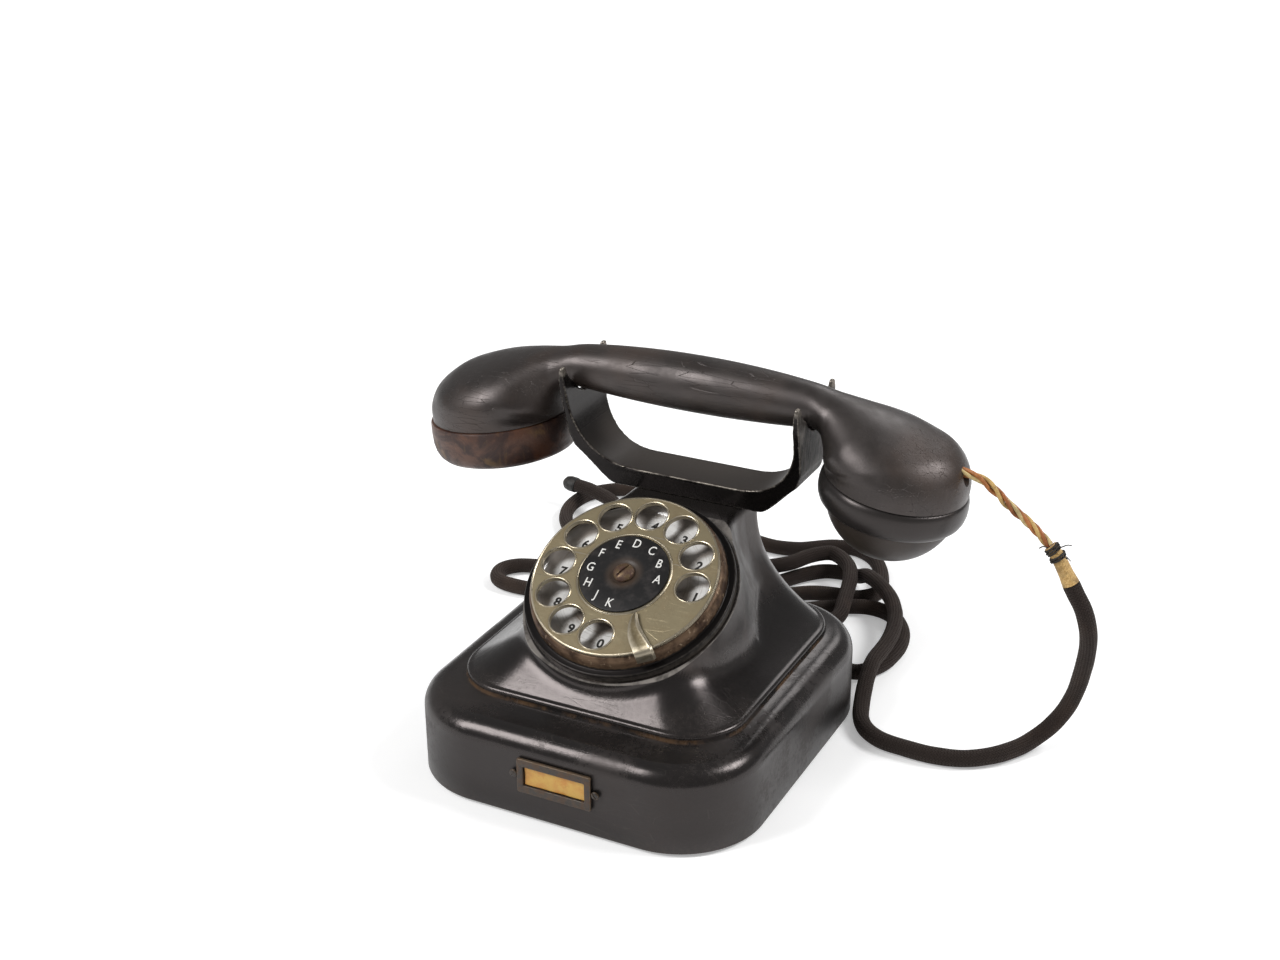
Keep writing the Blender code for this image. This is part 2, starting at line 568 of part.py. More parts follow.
def cradle_front_outline():
    """Half of the fork seen from the front, from the bottom middle round to the inside middle."""
    outer = [(0.7 * MM, 30.0 * MM), (0.0, 15.0 * MM), (0.0, 1.5 * MM), (1.0 * MM, 0.0)]
    inner = [(-1.5 * MM, 44.0 * MM), (-0.7 * MM, 35.0 * MM), (-0.3 * MM, 27.0 * MM), (0.5 * MM, 21.0 * MM),
             (3.5 * MM, 13.5 * MM), (8.5 * MM, 7.0 * MM), (15.5 * MM, 2.3 * MM), (23.5 * MM, 0.3 * MM),
             (31.5 * MM, 0.0)]
    points = [(BAR_HALF_X, CRADLE_BOTTOM), (ARM_OUTER - 3.0 * MM, CRADLE_BOTTOM + 16.5 * MM)]
    points += [(ARM_OUTER - inward, CRADLE_TOP - under) for inward, under in outer]
    return points + [(ARM_INNER - inward, CRADLE_FLOOR + over) for inward, over in inner]


half = cradle_front_outline()
whole = half + [(-x, z) for x, z in reversed(half)]
fork = slab("cradle_fork", whole, 2 * HORN_HALF_Y + 4 * MM, CAST_BLACK, parent=cradle, rotation=facing)
SADDLE_Z = HANDLE_Z - HANDLE_END_RADIUS - 2 * GAP
notch = HORN_HALF_Y - HORN_THICK
side_half = [(BAR_HALF_Y, CRADLE_BOTTOM - 2 * MM), (BAR_HALF_Y + 1.6 * MM, CRADLE_FLOOR),
             (HORN_HALF_Y - 4 * MM, CRADLE_FLOOR + 21 * MM), (HORN_HALF_Y, CRADLE_TOP - 6 * MM),
             (HORN_HALF_Y, CRADLE_TOP - 1 * MM), (HORN_HALF_Y - 1 * MM, CRADLE_TOP + 1 * MM),
             (notch + 1.2 * MM, CRADLE_TOP + 1 * MM), (notch + 0.4 * MM, CRADLE_TOP - 3 * MM)]
side_half += [(y, z) for y, z in arc((0.0, SADDLE_Z + notch), notch, 0, -80, 7)]
side = side_half + [(-y, z) for y, z in reversed(side_half)]
cut(fork, slab("cradle_side", side, 3 * ARM_OUTER, None, parent=cradle,
               rotation=(math.radians(90), 0.0, math.radians(90))), "INTERSECT")

stem_top = CRADLE_BOTTOM - GAP
box("cradle_stem", (2 * STEM_HALF_X, 2 * STEM_HALF_Y, stem_top - STEM_BOTTOM), STEEL, parent=cradle,
    location=(0.0, 0.0, (stem_top + STEM_BOTTOM) / 2))
GUIDE_TOP = NECK_TOP + 0.4 * MM
GUIDE_BOTTOM = 78.0 * MM
guide = box("neck_guide", (2 * GUIDE_HALF_X, 2 * GUIDE_HALF_Y, GUIDE_TOP - GUIDE_BOTTOM), BROWN_BAKELITE,
            parent=cradle, location=(0.0, 0.0, (GUIDE_TOP + GUIDE_BOTTOM) / 2))
slot_size = (2 * STEM_HALF_X + 2 * GAP, 2 * STEM_HALF_Y + 2 * GAP, 2 * (GUIDE_TOP - GUIDE_BOTTOM))
cut(guide, box("guide_slot", slot_size, None, parent=cradle,
               location=(0.0, 0.0, (GUIDE_TOP + GUIDE_BOTTOM) / 2)))

# Switch hook: the lever under the stem, its pin, its spring and its contacts
LEVER_Z = STEM_BOTTOM - 4.0 * MM
PIN_X = -22.0 * MM
lever_pivot = frame("lever_pivot", (PIN_X, 0.0, LEVER_Z), parent=cradle)
LEVER_LENGTH = 46.0 * MM
LEVER_WIDTH = 8.0 * MM
LEVER_THICK = 2.5 * MM
EYE_RADIUS = 4.0 * MM
BRACKET_WIDTH = 2 * LEVER_WIDTH
BRACKET_LENGTH = 3 * EYE_RADIUS
lever = box("hook_lever", (LEVER_LENGTH, LEVER_WIDTH, LEVER_THICK), STEEL, parent=lever_pivot,
            location=(LEVER_LENGTH / 2 - EYE_RADIUS - 1 * MM, 0.0, EYE_RADIUS - LEVER_THICK / 2 - 0.55 * MM))
cut(lever, rod("lever_eye", EYE_RADIUS, LEVER_WIDTH, None, 20, parent=lever_pivot, rotation=facing), "UNION")
cut(lever, rod("lever_bore", PIN_RADIUS + GAP, 2 * BRACKET_WIDTH, None, parent=lever_pivot, rotation=facing))
bracket_height = LEVER_Z + 1.5 * EYE_RADIUS - PLATE_TOP - GAP
bracket = box("hook_bracket", (BRACKET_LENGTH, BRACKET_WIDTH, bracket_height), STEEL, parent=cradle,
              location=(PIN_X, 0.0, PLATE_TOP + GAP + bracket_height / 2))
cut(bracket, box("bracket_slot", (5 * BRACKET_LENGTH, LEVER_WIDTH + 4 * GAP, 5 * EYE_RADIUS), None,
                 parent=cradle, location=(PIN_X, 0.0, LEVER_Z + 0.75 * EYE_RADIUS)))
cut(bracket, rod("bracket_bore", PIN_RADIUS + GAP, 2 * BRACKET_WIDTH, None, parent=lever_pivot,
                 rotation=facing))
rod("lever_pin", PIN_RADIUS, BRACKET_WIDTH + 2 * MM, STEEL, 12, parent=lever_pivot, rotation=facing)
CONTACT_LENGTH = 10.0 * MM
CONTACT_WIDTH = 14.0 * MM
CONTACT_TOP = LEVER_Z - 1.5 * EYE_RADIUS
contact_height = CONTACT_TOP - PLATE_TOP - GAP
box("hook_contact_set", (CONTACT_LENGTH, CONTACT_WIDTH, contact_height), BROWN_BAKELITE, parent=cradle,
    location=(LEVER_LENGTH + PIN_X - 8.0 * MM, 0.0, PLATE_TOP + GAP + contact_height / 2))

# Ringer: two gongs on posts, two coils on a yoke and the clapper between them
COIL_X = 11.0 * MM
COIL_RADIUS = 8.0 * MM
COIL_LENGTH = 30.0 * MM
COIL_Z = PLATE_TOP + GAP + COIL_RADIUS + 4.0 * MM
COIL_Y = 26.0 * MM
YOKE_THICK = 3.0 * MM
GONG_RADIUS = 21.0 * MM
GONG_X = 26.0 * MM
GONG_Y = -38.0 * MM
GONG_Z = COIL_Z + 7.0 * MM
GONG_DEPTH = 9.0 * MM
POST_RADIUS = 3.0 * MM
for side_name, sx in (("left", -1), ("right", 1)):
    spot = (sx * GONG_X, GONG_Y, 0.0)
    turned(f"gong_{side_name}", [
        (POST_RADIUS + GAP, GONG_Z), (9.0 * MM, GONG_Z - 0.4 * MM), (16.0 * MM, GONG_Z - 2.4 * MM),
        (20.0 * MM, GONG_Z - 5.6 * MM), (GONG_RADIUS, GONG_Z - GONG_DEPTH),
        (GONG_RADIUS - 1.5 * MM, GONG_Z - GONG_DEPTH),
        (18.3 * MM, GONG_Z - 6.2 * MM), (14.8 * MM, GONG_Z - 3.9 * MM), (9.0 * MM, GONG_Z - 2.0 * MM),
        (POST_RADIUS + GAP, GONG_Z - 1.6 * MM)], GONG_BRASS, 36, closed=True, location=spot)
    post_top = GONG_Z + 1.2 * MM
    rod(f"gong_post_{side_name}", POST_RADIUS, post_top - PLATE_TOP - GAP, STEEL, location=(
        spot[0], spot[1], (post_top + PLATE_TOP + GAP) / 2))

for side_name, sx in (("left", -1), ("right", 1)):
    rod(f"ringer_coil_{side_name}", COIL_RADIUS, COIL_LENGTH, COPPER_COIL, 20, rotation=facing,
        location=(sx * COIL_X, COIL_Y - COIL_LENGTH / 2 - GAP, COIL_Z))
yoke_height = COIL_Z + COIL_RADIUS - PLATE_TOP - GAP
box("ringer_yoke", (4 * COIL_X, YOKE_THICK, yoke_height), STEEL,
    location=(0.0, COIL_Y + YOKE_THICK / 2, PLATE_TOP + GAP + yoke_height / 2))
CLAPPER_Y = COIL_Y - COIL_LENGTH - 5.0 * MM
clapper_axis = frame("clapper_axis", (0.0, CLAPPER_Y, 0.0), parent=telephone)
CLAPPER_HEIGHT = 8.0 * MM
clapper = box("clapper", (3.2 * COIL_X, 3.0 * MM, CLAPPER_HEIGHT), STEEL, parent=clapper_axis,
              location=(0.0, 0.0, COIL_Z))
ROD_LENGTH = abs(GONG_Y - CLAPPER_Y) - 2.0 * MM
cut(clapper, rod("clapper_rod", 1.2 * MM, ROD_LENGTH, None, 12, parent=clapper_axis, rotation=facing,
                 location=(0.0, -ROD_LENGTH / 2, COIL_Z)), "UNION")
BALL_RADIUS = 3.2 * MM
ball_profile = [(0.0, BALL_RADIUS)] + arc((0.0, 0.0), BALL_RADIUS, 67, -67, 7) + [(0.0, -BALL_RADIUS)]
cut(clapper, turned("clapper_ball", ball_profile, None, 16, parent=clapper_axis,
                    location=(0.0, -ROD_LENGTH, COIL_Z)), "UNION")
cut(clapper, rod("clapper_hub", 3.5 * MM, CLAPPER_HEIGHT, None, 20, parent=clapper_axis,
                 location=(0.0, 0.0, COIL_Z)), "UNION")
cut(clapper, rod("clapper_bore", PIN_RADIUS + GAP, 4 * CLAPPER_HEIGHT, None, parent=clapper_axis,
                 location=(0.0, 0.0, COIL_Z)))
pin_top = COIL_Z + CLAPPER_HEIGHT - 1 * MM
rod("clapper_pin", PIN_RADIUS, pin_top - PLATE_TOP - GAP, STEEL, 12, parent=clapper_axis,
    location=(0.0, 0.0, (pin_top + PLATE_TOP + GAP) / 2))

# Speech parts bolted to the base plate
INDUCTION = (16 * MM, 34 * MM, 18 * MM)
CAPACITOR = (18 * MM, 40 * MM, 24 * MM)
TERMINALS = (12 * MM, 28 * MM, 12 * MM)
SIDE_ROOM = 26 * MM                 # from the middle of the coil and the can to the side wall
INDUCTION_Y = 18 * MM
left_row = SIDE_ROOM - PLINTH_HALF_X
terminals_y = INDUCTION_Y + (INDUCTION[1] + TERMINALS[1]) / 2 + 2 * MM
seat = PLATE_TOP + GAP
box("induction_coil", INDUCTION, COPPER_COIL, location=(left_row, INDUCTION_Y, seat + INDUCTION[2] / 2))
box("capacitor_can", CAPACITOR, STEEL, location=(-left_row, INDUCTION_Y, seat + CAPACITOR[2] / 2))
box("terminal_block", TERMINALS, BROWN_BAKELITE, location=(left_row, terminals_y, seat + TERMINALS[2] / 2))

# Handset: a moulded handle with two cups, fanned sections turning about the inner corner of each cup


def ellipse_ring(centre, along, half_along, half_y, count=20):
    """A ring in the plane of along and Y, both unit directions, round a centre in the XZ plane."""
    ring = []
    for i in range(count):
        angle = 2 * math.pi * i / count
        offset = along * (half_along * math.cos(angle))
        ring.append((centre.x + offset.x, half_y * math.sin(angle), centre.z + offset.z))
    return ring


def cup_rings(pivot, joint, radius, reaches, widths, sign):
    """Sections from the cup's joint circle, fanned about the pivot, to the handle's end section."""
    across = Vector((joint.x - pivot.x, 0.0, joint.z - pivot.z)).normalized()
    start = math.atan2(across.z, across.x * sign)
    rings = [ellipse_ring(joint, across, radius, radius)]
    for step, (reach, width) in enumerate(zip(reaches, widths), 1):
        turn = start + (math.pi / 2 - start) * step / len(reaches)
        along = Vector((math.cos(turn) * sign, 0.0, math.sin(turn)))
        rings.append(ellipse_ring(pivot + along * (reach / 2), along, reach / 2, width))
    return rings


def handle_ring(x):
    """Section of the handle: thickest in the middle."""
    share = max(1.0 - (x / (57 * MM)) ** 2, 0.0)
    radius = HANDLE_END_RADIUS + (HANDLE_RADIUS - HANDLE_END_RADIUS) * share
    centre = Vector((x, 0.0, 0.6 * MM * share))
    return ellipse_ring(centre, Vector((0.0, 0.0, 1.0)), radius, radius)


ear_across = Vector((math.cos(EAR_TILT), 0.0, math.sin(EAR_TILT)))
mouth_across = Vector((-math.cos(MOUTH_TILT), 0.0, math.sin(MOUTH_TILT)))
ear_joint = Vector((EAR_X, 0.0, EAR_JOINT_Z - HANDLE_Z))
mouth_joint = Vector((MOUTH_X, 0.0, MOUTH_JOINT_Z - HANDLE_Z))
ear_pivot = ear_joint + ear_across * EAR_RADIUS
mouth_pivot = mouth_joint + mouth_across * MOUTH_RADIUS
ear_reaches = [61.7 * MM, 49.6 * MM, 41.0 * MM, 35.2 * MM, 31.8 * MM, 30.3 * MM, 30.0 * MM, 30.3 * MM]
ear_widths = [32.2 * MM, 30.6 * MM, 28.2 * MM, 25.0 * MM, 21.4 * MM, 17.8 * MM, 14.4 * MM, 12.0 * MM]
mouth_reaches = [59.6 * MM, 47.8 * MM, 38.0 * MM, 31.8 * MM, 28.6 * MM, 27.6 * MM, 27.8 * MM, 28.5 * MM]
mouth_widths = [29.6 * MM, 28.2 * MM, 26.0 * MM, 23.2 * MM, 20.0 * MM, 16.8 * MM, 13.8 * MM, 11.8 * MM]
rings = cup_rings(ear_pivot, ear_joint, EAR_RADIUS, ear_reaches, ear_widths, -1)
rings += [handle_ring(x * MM) for x in (-57, -44, -30, -15, 0, 15, 30, 44, 57)]
rings += list(reversed(cup_rings(mouth_pivot, mouth_joint, MOUTH_RADIUS, mouth_reaches, mouth_widths, 1)))
handle = loft("handset_handle", rings, BAKELITE, parent=handset)

EAR_BORE = EAR_RADIUS - CUP_WALL
MOUTH_BORE = MOUTH_RADIUS - CUP_WALL
RIM_DEPTH = 4.0 * MM                # the cup's wide mouth; a narrower well goes on from there
CUP_DEPTH = 11.0 * MM
CAPSULE_BACK = 14.0 * MM
for side_name, carrier, bore in (("ear", ear, EAR_BORE), ("mouth", mouth, MOUTH_BORE)):
    cut(handle, rod(f"{side_name}_cup_bore", bore, 2 * RIM_DEPTH, None, 32, parent=carrier))
    cut(handle, rod(f"{side_name}_cup_well", CAPSULE_BACK + GAP, 2 * CUP_DEPTH, None, 24, parent=carrier))

ear_bottom = -EAR_CAP_HEIGHT
turned("ear_cap", [
    (EAR_BORE, -GAP), (EAR_RADIUS + 0.3 * MM, -GAP), (EAR_RADIUS + 0.4 * MM, ear_bottom * 0.55),
    (EAR_RADIUS - 1.2 * MM, ear_bottom * 0.85), (EAR_RADIUS - 4.5 * MM, ear_bottom),
    (EAR_RADIUS - 8.0 * MM, ear_bottom), (8.0 * MM, ear_bottom + 4.0 * MM),
    (3.0 * MM, ear_bottom + 4.4 * MM), (3.0 * MM, ear_bottom + 6.6 * MM),
    (EAR_BORE, ear_bottom + 6.6 * MM)], BROWN_BAKELITE, 40, closed=True,
    parent=ear)
capsule_bottom = ear_bottom + 6.6 * MM + GAP
turned("receiver_capsule", [
    (0.0, CUP_DEPTH - GAP), (CAPSULE_BACK, CUP_DEPTH - GAP), (CAPSULE_BACK, 0.0),
    (EAR_BORE - GAP, -1.0 * MM), (EAR_BORE - GAP, capsule_bottom), (0.0, capsule_bottom)],
    STEEL, 32, parent=ear)
ring_bottom = -MOUTH_RING_HEIGHT
groove = ring_bottom + 3.4 * MM
turned("mouth_ring", [
    (MOUTH_BORE, -GAP), (MOUTH_RADIUS - 0.2 * MM, -GAP), (MOUTH_RADIUS + 0.9 * MM, -2.0 * MM),
    (MOUTH_RADIUS + 1.3 * MM, ring_bottom * 0.5), (MOUTH_RADIUS + 0.6 * MM, ring_bottom * 0.82),
    (MOUTH_RADIUS - 1.4 * MM, ring_bottom), (DOME_RADIUS + GAP, ring_bottom),
    (DOME_RADIUS + GAP, groove), (MOUTH_BORE, groove)], BAKELITE, 40, closed=True, parent=mouth)
dome_sphere = (DOME_RADIUS ** 2 + DOME_DEPTH ** 2) / (2 * DOME_DEPTH)
dome_centre = ring_bottom - DOME_DEPTH + dome_sphere
dome_start = -math.degrees(math.asin((dome_centre - ring_bottom) / dome_sphere))
dome_outer = arc((0.0, dome_centre), dome_sphere, dome_start, -84, 9)
dome_inner = arc((0.0, dome_centre), dome_sphere - DOME_WALL, -84, dome_start - 4, 7)
dome_rim = [(DOME_RADIUS - DOME_WALL, groove - GAP), (DOME_RADIUS, groove - GAP)]
turned("mouth_dome", dome_rim + dome_outer + dome_inner, BAKELITE, 36, closed=True, parent=mouth)
turned("transmitter_capsule", [
    (0.0, CUP_DEPTH - GAP), (CAPSULE_BACK, CUP_DEPTH - GAP), (CAPSULE_BACK, 2.0 * MM),
    (MOUTH_BORE - GAP, 0.0), (MOUTH_BORE - GAP, groove + 2 * GAP), (0.0, groove + 2 * GAP)],
    STEEL, 28, parent=mouth)


# Cords: routes chosen by hand, in the frame of the base, read as smooth curves


def smooth_route(points, spacing):
    """A smooth curve through the points, read at even steps between its straight first and last runs."""
    knots = [Vector(p) * MM for p in points]
    fine = []
    for a, b, c, d in zip(knots, knots[1:], knots[2:], knots[3:]):
        for i in range(24):
            t = i / 24
            fine.append(0.5 * (2 * b + (c - a) * t + (2 * a - 5 * b + 4 * c - d) * t * t
                               + (3 * b - a - 3 * c + d) * t ** 3))
    fine.append(knots[-2])
    total = sum((q - p).length for p, q in zip(fine, fine[1:]))
    count = max(2, round(total / spacing))
    stride = total / count
    read = [knots[0], knots[1]]
    walked = 0.0
    for p, q in zip(fine, fine[1:]):
        length = (q - p).length
        while walked + length >= stride * (len(read) - 1) - 1e-9 and len(read) - 1 < count:
            read.append(p.lerp(q, (stride * (len(read) - 1) - walked) / length))
        walked += length
    return read + [knots[-2], knots[-1]]


def cord(name, points, radius, spacing, finish):
    """A tube along a smooth route, with flat ends."""
    curve = bpy.data.curves.new(name, "CURVE")
    curve.dimensions = "3D"
    curve.bevel_depth = radius
    curve.bevel_resolution = 2
    curve.use_fill_caps = True
    spline = curve.splines.new("POLY")
    read = smooth_route(points, spacing)
    spline.points.add(len(read) - 1)
    for point, place_at in zip(spline.points, read):
        point.co = (*place_at, 1.0)
    made = bpy.data.objects.new(name, curve)
    made.parent = telephone
    curve.materials.append(finish)
    parts.objects.link(made)
    print(name, "length", round(sum((q - p).length for p, q in zip(read, read[1:])), 4), "points", len(read))
    return made


WIRE_ROUTE = [(118.6, 51.2, 127.5), (127.0, 51.2, 126.0), (133.0, 51.3, 122.8), (141.0, 51.4, 116.5),
              (148.5, 51.5, 110.5), (155.0, 51.6, 104.8), (158.0, 51.6, 102.0)]
WIRE_RADIUS = 2.5 * MM
cord("handset_wires", WIRE_ROUTE, WIRE_RADIUS, 2 * WIRE_RADIUS, WIRE_RUBBER)
wire_from, wire_to = (Vector(p) * MM for p in WIRE_ROUTE[:2])
wire_way = (wire_to - wire_from).normalized()
HOLE_LENGTH = 14.0 * MM
cut(handle, rod("wire_hole", WIRE_RADIUS + 2 * GAP, HOLE_LENGTH, None, 16,
                location=wire_from + wire_way * (HOLE_LENGTH / 2 - GAP),
                rotation=wire_way.to_track_quat("Z", "Y").to_euler()))
WHIPPING_ROUTE = [(158.3, 51.6, 101.7), (160.3, 51.6, 99.5), (163.5, 51.6, 94.8), (168.0, 51.6, 86.8)]
cord("cord_whipping", WHIPPING_ROUTE, 3.3 * MM, 5 * MM, THREAD)
HANDSET_CORD_ROUTE = [
    (168.25, 51.6, 86.35), (170.5, 51.6, 82.35), (173.9, 51.7, 76.5), (176.0, 52.8, 69.0),
    (176.3, 56.2, 60.5),
    (175.2, 60.2, 50.5), (173.2, 64.0, 39.9), (170.8, 66.6, 29.5), (167.2, 67.0, 19.5), (162.0, 64.8, 11.0),
    (156.4, 60.0, 5.8), (151.8, 53.2, 4.0), (144.5, 42.8, 4.0), (134.0, 34.6, 4.0), (121.0, 31.2, 4.0),
    (108.0, 31.4, 4.0), (97.5, 32.8, 4.0), (89.0, 37.8, 4.0), (83.4, 45.5, 4.2), (80.0, 55.0, 5.5),
    (77.4, 65.5, 8.5), (75.8, 75.0, 11.4), (75.0, 83.0, 12.4), (75.0, 92.5, 12.4), (74.3, 105.0, 12.4),
    (71.6, 119.1, 12.4), (66.6, 132.5, 12.4), (59.2, 144.8, 12.4), (49.3, 154.8, 12.8), (41.0, 163.5, 10.4),
    (34.0, 169.6, 5.8), (26.0, 172.8, 4.2), (15.5, 170.5, 4.0), (7.0, 161.5, 4.0), (0.0, 150.0, 4.0),
    (-8.0, 136.5, 4.0), (-19.0, 126.0, 4.0), (-33.0, 122.5, 4.0), (-45.0, 129.0, 4.0), (-46.5, 142.0, 4.4),
    (-36.0, 150.0, 6.6), (-21.0, 149.0, 10.0), (-8.0, 146.5, 12.4), (2.3, 155.5, 12.4), (8.8, 168.0, 12.4),
    (16.5, 175.2, 12.5), (24.5, 171.8, 12.3), (31.8, 162.8, 12.9), (36.4, 151.5, 12.6), (39.4, 140.0, 12.0),
    (42.7, 126.7, 12.4), (45.2, 115.0, 12.4), (43.0, 106.0, 12.2), (36.0, 101.0, 13.4), (27.0, 99.5, 15.2),
    (19.0, 96.5, 17.2), (16.0, 90.0, 18.0), (16.0, REAR_FACE / MM, 18.0)]
cord("handset_cord", HANDSET_CORD_ROUTE, CORD_RADIUS, CORD_STRIDE, BRAID)
LINE_CORD_ROUTE = [
    (-16.0, REAR_FACE / MM, 18.0), (-16.0, 90.0, 18.0), (-13.5, 98.0, 17.2), (-5.0, 103.0, 14.0),
    (6.0, 102.5, 9.4), (17.0, 97.5, 5.4), (29.0, 91.5, 4.0), (43.0, 87.0, 4.0), (57.0, 83.0, 4.0),
    (67.5, 83.0, 4.0),
    (74.0, 92.5, 4.0), (76.3, 104.0, 4.0), (76.0, 116.0, 4.0), (72.5, 127.8, 4.0), (66.0, 137.6, 4.0),
    (57.5, 143.2, 4.0), (48.5, 143.8, 4.0), (39.5, 140.0, 4.0), (29.0, 133.0, 4.0), (18.0, 124.0, 4.0),
    (6.0, 114.5, 4.0), (-9.0, 108.0, 4.0), (-27.0, 104.5, 4.0), (-48.0, 101.0, 4.0), (-72.0, 97.0, 4.0),
    (-96.0, 91.0, 4.0), (-114.0, 87.6, 4.0), (-127.5, 89.5, 4.0), (-132.6, 99.0, 4.0), (-127.0, 108.0, 4.0),
    (-112.5, 114.0, 4.0), (-101.0, 124.0, 4.0), (-100.5, 139.0, 4.0), (-112.0, 150.0, 4.0),
    (-126.0, 159.0, 4.0),
    (-135.0, 172.0, 4.0), (-138.5, 187.0, 4.0), (-135.5, 202.0, 4.0), (-124.5, 213.5, 4.0),
    (-107.0, 218.5, 4.0),
    (-82.0, 214.0, 4.0), (-58.0, 202.0, 4.0), (-38.0, 190.0, 4.0), (-20.0, 185.5, 4.0), (-6.0, 188.5, 4.0),
    (8.0, 198.5, 4.0), (21.0, 201.0, 4.0), (32.5, 194.8, 4.0), (40.5, 184.0, 4.0), (46.5, 170.0, 4.0),
    (47.5, 158.5, 4.0), (40.0, 151.0, 4.0), (28.0, 149.0, 4.0), (17.0, 145.0, 4.0), (7.5, 137.0, 4.0),
    (-1.5, 127.0, 4.0), (-12.0, 117.5, 4.0), (-28.0, 113.0, 4.0), (-46.0, 114.0, 4.0), (-59.0, 123.0, 4.0),
    (-67.0, 139.0, 4.0), (-79.0, 156.0, 4.6), (-95.0, 172.0, 7.4), (-113.0, 183.6, 11.4),
    (-130.0, 189.6, 12.8),
    (-138.0, 191.0, 12.8)]
cord("line_cord", LINE_CORD_ROUTE, CORD_RADIUS, CORD_STRIDE, BRAID)
tail_from, tail_to = (Vector(p) for p in LINE_CORD_ROUTE[-2:])
tail_way = (tail_to - tail_from).normalized()
SLEEVE_LENGTH = 9.0 * MM
turned("line_connector", [
    (0.0, SLEEVE_LENGTH), (2.2 * MM, SLEEVE_LENGTH - 0.5 * MM), (3.6 * MM, SLEEVE_LENGTH - 2.0 * MM),
    (4.2 * MM, SLEEVE_LENGTH - 4.5 * MM), (4.2 * MM, 1.0 * MM), (3.8 * MM, 0.0), (0.0, 0.0)], RUBBER, 16,
    location=tail_to * MM + tail_way * GAP, rotation=tail_way.to_track_quat("Z", "Y").to_euler())
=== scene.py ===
import math
import random

import bmesh
import bpy
import numpy as np
from mathutils import Matrix, Vector


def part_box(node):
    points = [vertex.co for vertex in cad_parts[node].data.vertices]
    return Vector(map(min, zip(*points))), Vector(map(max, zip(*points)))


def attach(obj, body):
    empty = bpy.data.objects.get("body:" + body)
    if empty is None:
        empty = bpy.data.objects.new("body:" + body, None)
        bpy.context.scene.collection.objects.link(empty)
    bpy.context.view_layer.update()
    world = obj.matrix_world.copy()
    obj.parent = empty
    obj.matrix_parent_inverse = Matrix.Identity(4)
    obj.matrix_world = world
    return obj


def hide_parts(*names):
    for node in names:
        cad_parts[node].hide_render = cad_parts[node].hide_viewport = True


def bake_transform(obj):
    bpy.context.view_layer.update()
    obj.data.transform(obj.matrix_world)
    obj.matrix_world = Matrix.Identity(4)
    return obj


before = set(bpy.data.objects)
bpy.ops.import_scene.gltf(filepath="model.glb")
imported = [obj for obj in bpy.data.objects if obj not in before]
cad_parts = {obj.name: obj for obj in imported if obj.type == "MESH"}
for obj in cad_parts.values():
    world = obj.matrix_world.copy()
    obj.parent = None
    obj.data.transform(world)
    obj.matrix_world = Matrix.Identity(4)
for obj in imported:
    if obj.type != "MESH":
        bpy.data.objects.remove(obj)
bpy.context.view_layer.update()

# Camera: the photograph is taken from the front right and above, about 0.8 m away.
# Its place and lens were worked out from the outlines of the base, the dial and the handset.
housing_low, housing_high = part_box("housing")
PHONE_X = (housing_low[0] + housing_high[0]) / 2
scene = bpy.context.scene
scene.view_settings.view_transform = "Standard"


def placed(name, data):
    """A new object in the scene."""
    made = bpy.data.objects.new(name, data)
    scene.collection.objects.link(made)
    return made


CAMERA_PLACE = Vector((0.32684 + PHONE_X, -0.63367, 0.44117))
CAMERA_PITCH = math.radians(24.21)
CAMERA_YAW = math.radians(27.35)
CAMERA_ROLL = math.radians(0.56)
LENS = 53.37
ahead = Vector((-math.sin(CAMERA_YAW) * math.cos(CAMERA_PITCH),
                math.cos(CAMERA_YAW) * math.cos(CAMERA_PITCH), -math.sin(CAMERA_PITCH)))
level = Vector((math.cos(CAMERA_YAW), math.sin(CAMERA_YAW), 0.0))
below = ahead.cross(level)
right = level * math.cos(CAMERA_ROLL) + below * math.sin(CAMERA_ROLL)
down = below * math.cos(CAMERA_ROLL) - level * math.sin(CAMERA_ROLL)
camera = placed("camera", bpy.data.cameras.new("camera"))
camera.data.lens = LENS
camera.data.sensor_width = 36.0
camera.data.clip_end = 50.0
camera.matrix_world = Matrix((
    (right.x, -down.x, -ahead.x, CAMERA_PLACE.x),
    (right.y, -down.y, -ahead.y, CAMERA_PLACE.y),
    (right.z, -down.z, -ahead.z, CAMERA_PLACE.z), (0.0, 0.0, 0.0, 1.0)))
scene.camera = camera

# Floor and studio: a plain white table under soft light from a large lamp at the upper left and a
# smaller one at the right. The floor looks white to the camera and still takes the object's shadow.
FLOOR_SIZE = 14.0
FLOOR_COLOUR = (0.86, 0.86, 0.86)
FLOOR_LIFT = 0.32                   # how much plain white the camera sees in the floor near the set
FLOOR_LIFT_GLOSSY = 0.2             # and how much of it shows in reflections
LIT_REACH = (0.5, 1.4)              # from here to there the lift grows to plain white
SKY_LIGHT = 0.27
WHITE = (1.0, 1.0, 1.0)


class Flow:
    """A value on its way between nodes. It can be added, taken off, multiplied and mixed."""

    def __init__(self, nodes, socket):
        self.nodes, self.socket = nodes, socket

    def __add__(self, other):
        return self.nodes.math("ADD", self, other)

    def __sub__(self, other):
        return self.nodes.math("SUBTRACT", self, other)

    def __mul__(self, other):
        return self.nodes.math("MULTIPLY", self, other)

    def __truediv__(self, other):
        return self.nodes.math("DIVIDE", self, other)

    def between(self, low, high, to_low=0.0, to_high=1.0, run="SMOOTHSTEP"):
        """This value from low to high as to_low to to_high, smoothed and held there."""
        return self.nodes.out("MapRange", "Result", interpolation_type=run, Value=self, From_Min=low,
                              From_Max=high, To_Min=to_low, To_Max=to_high)

    def blend(self, first, second):
        """The first colour where this is 0 and the second where it is 1."""
        return self.nodes.out("Mix", "Result", data_type="RGBA", Factor=self, A=first, B=second)


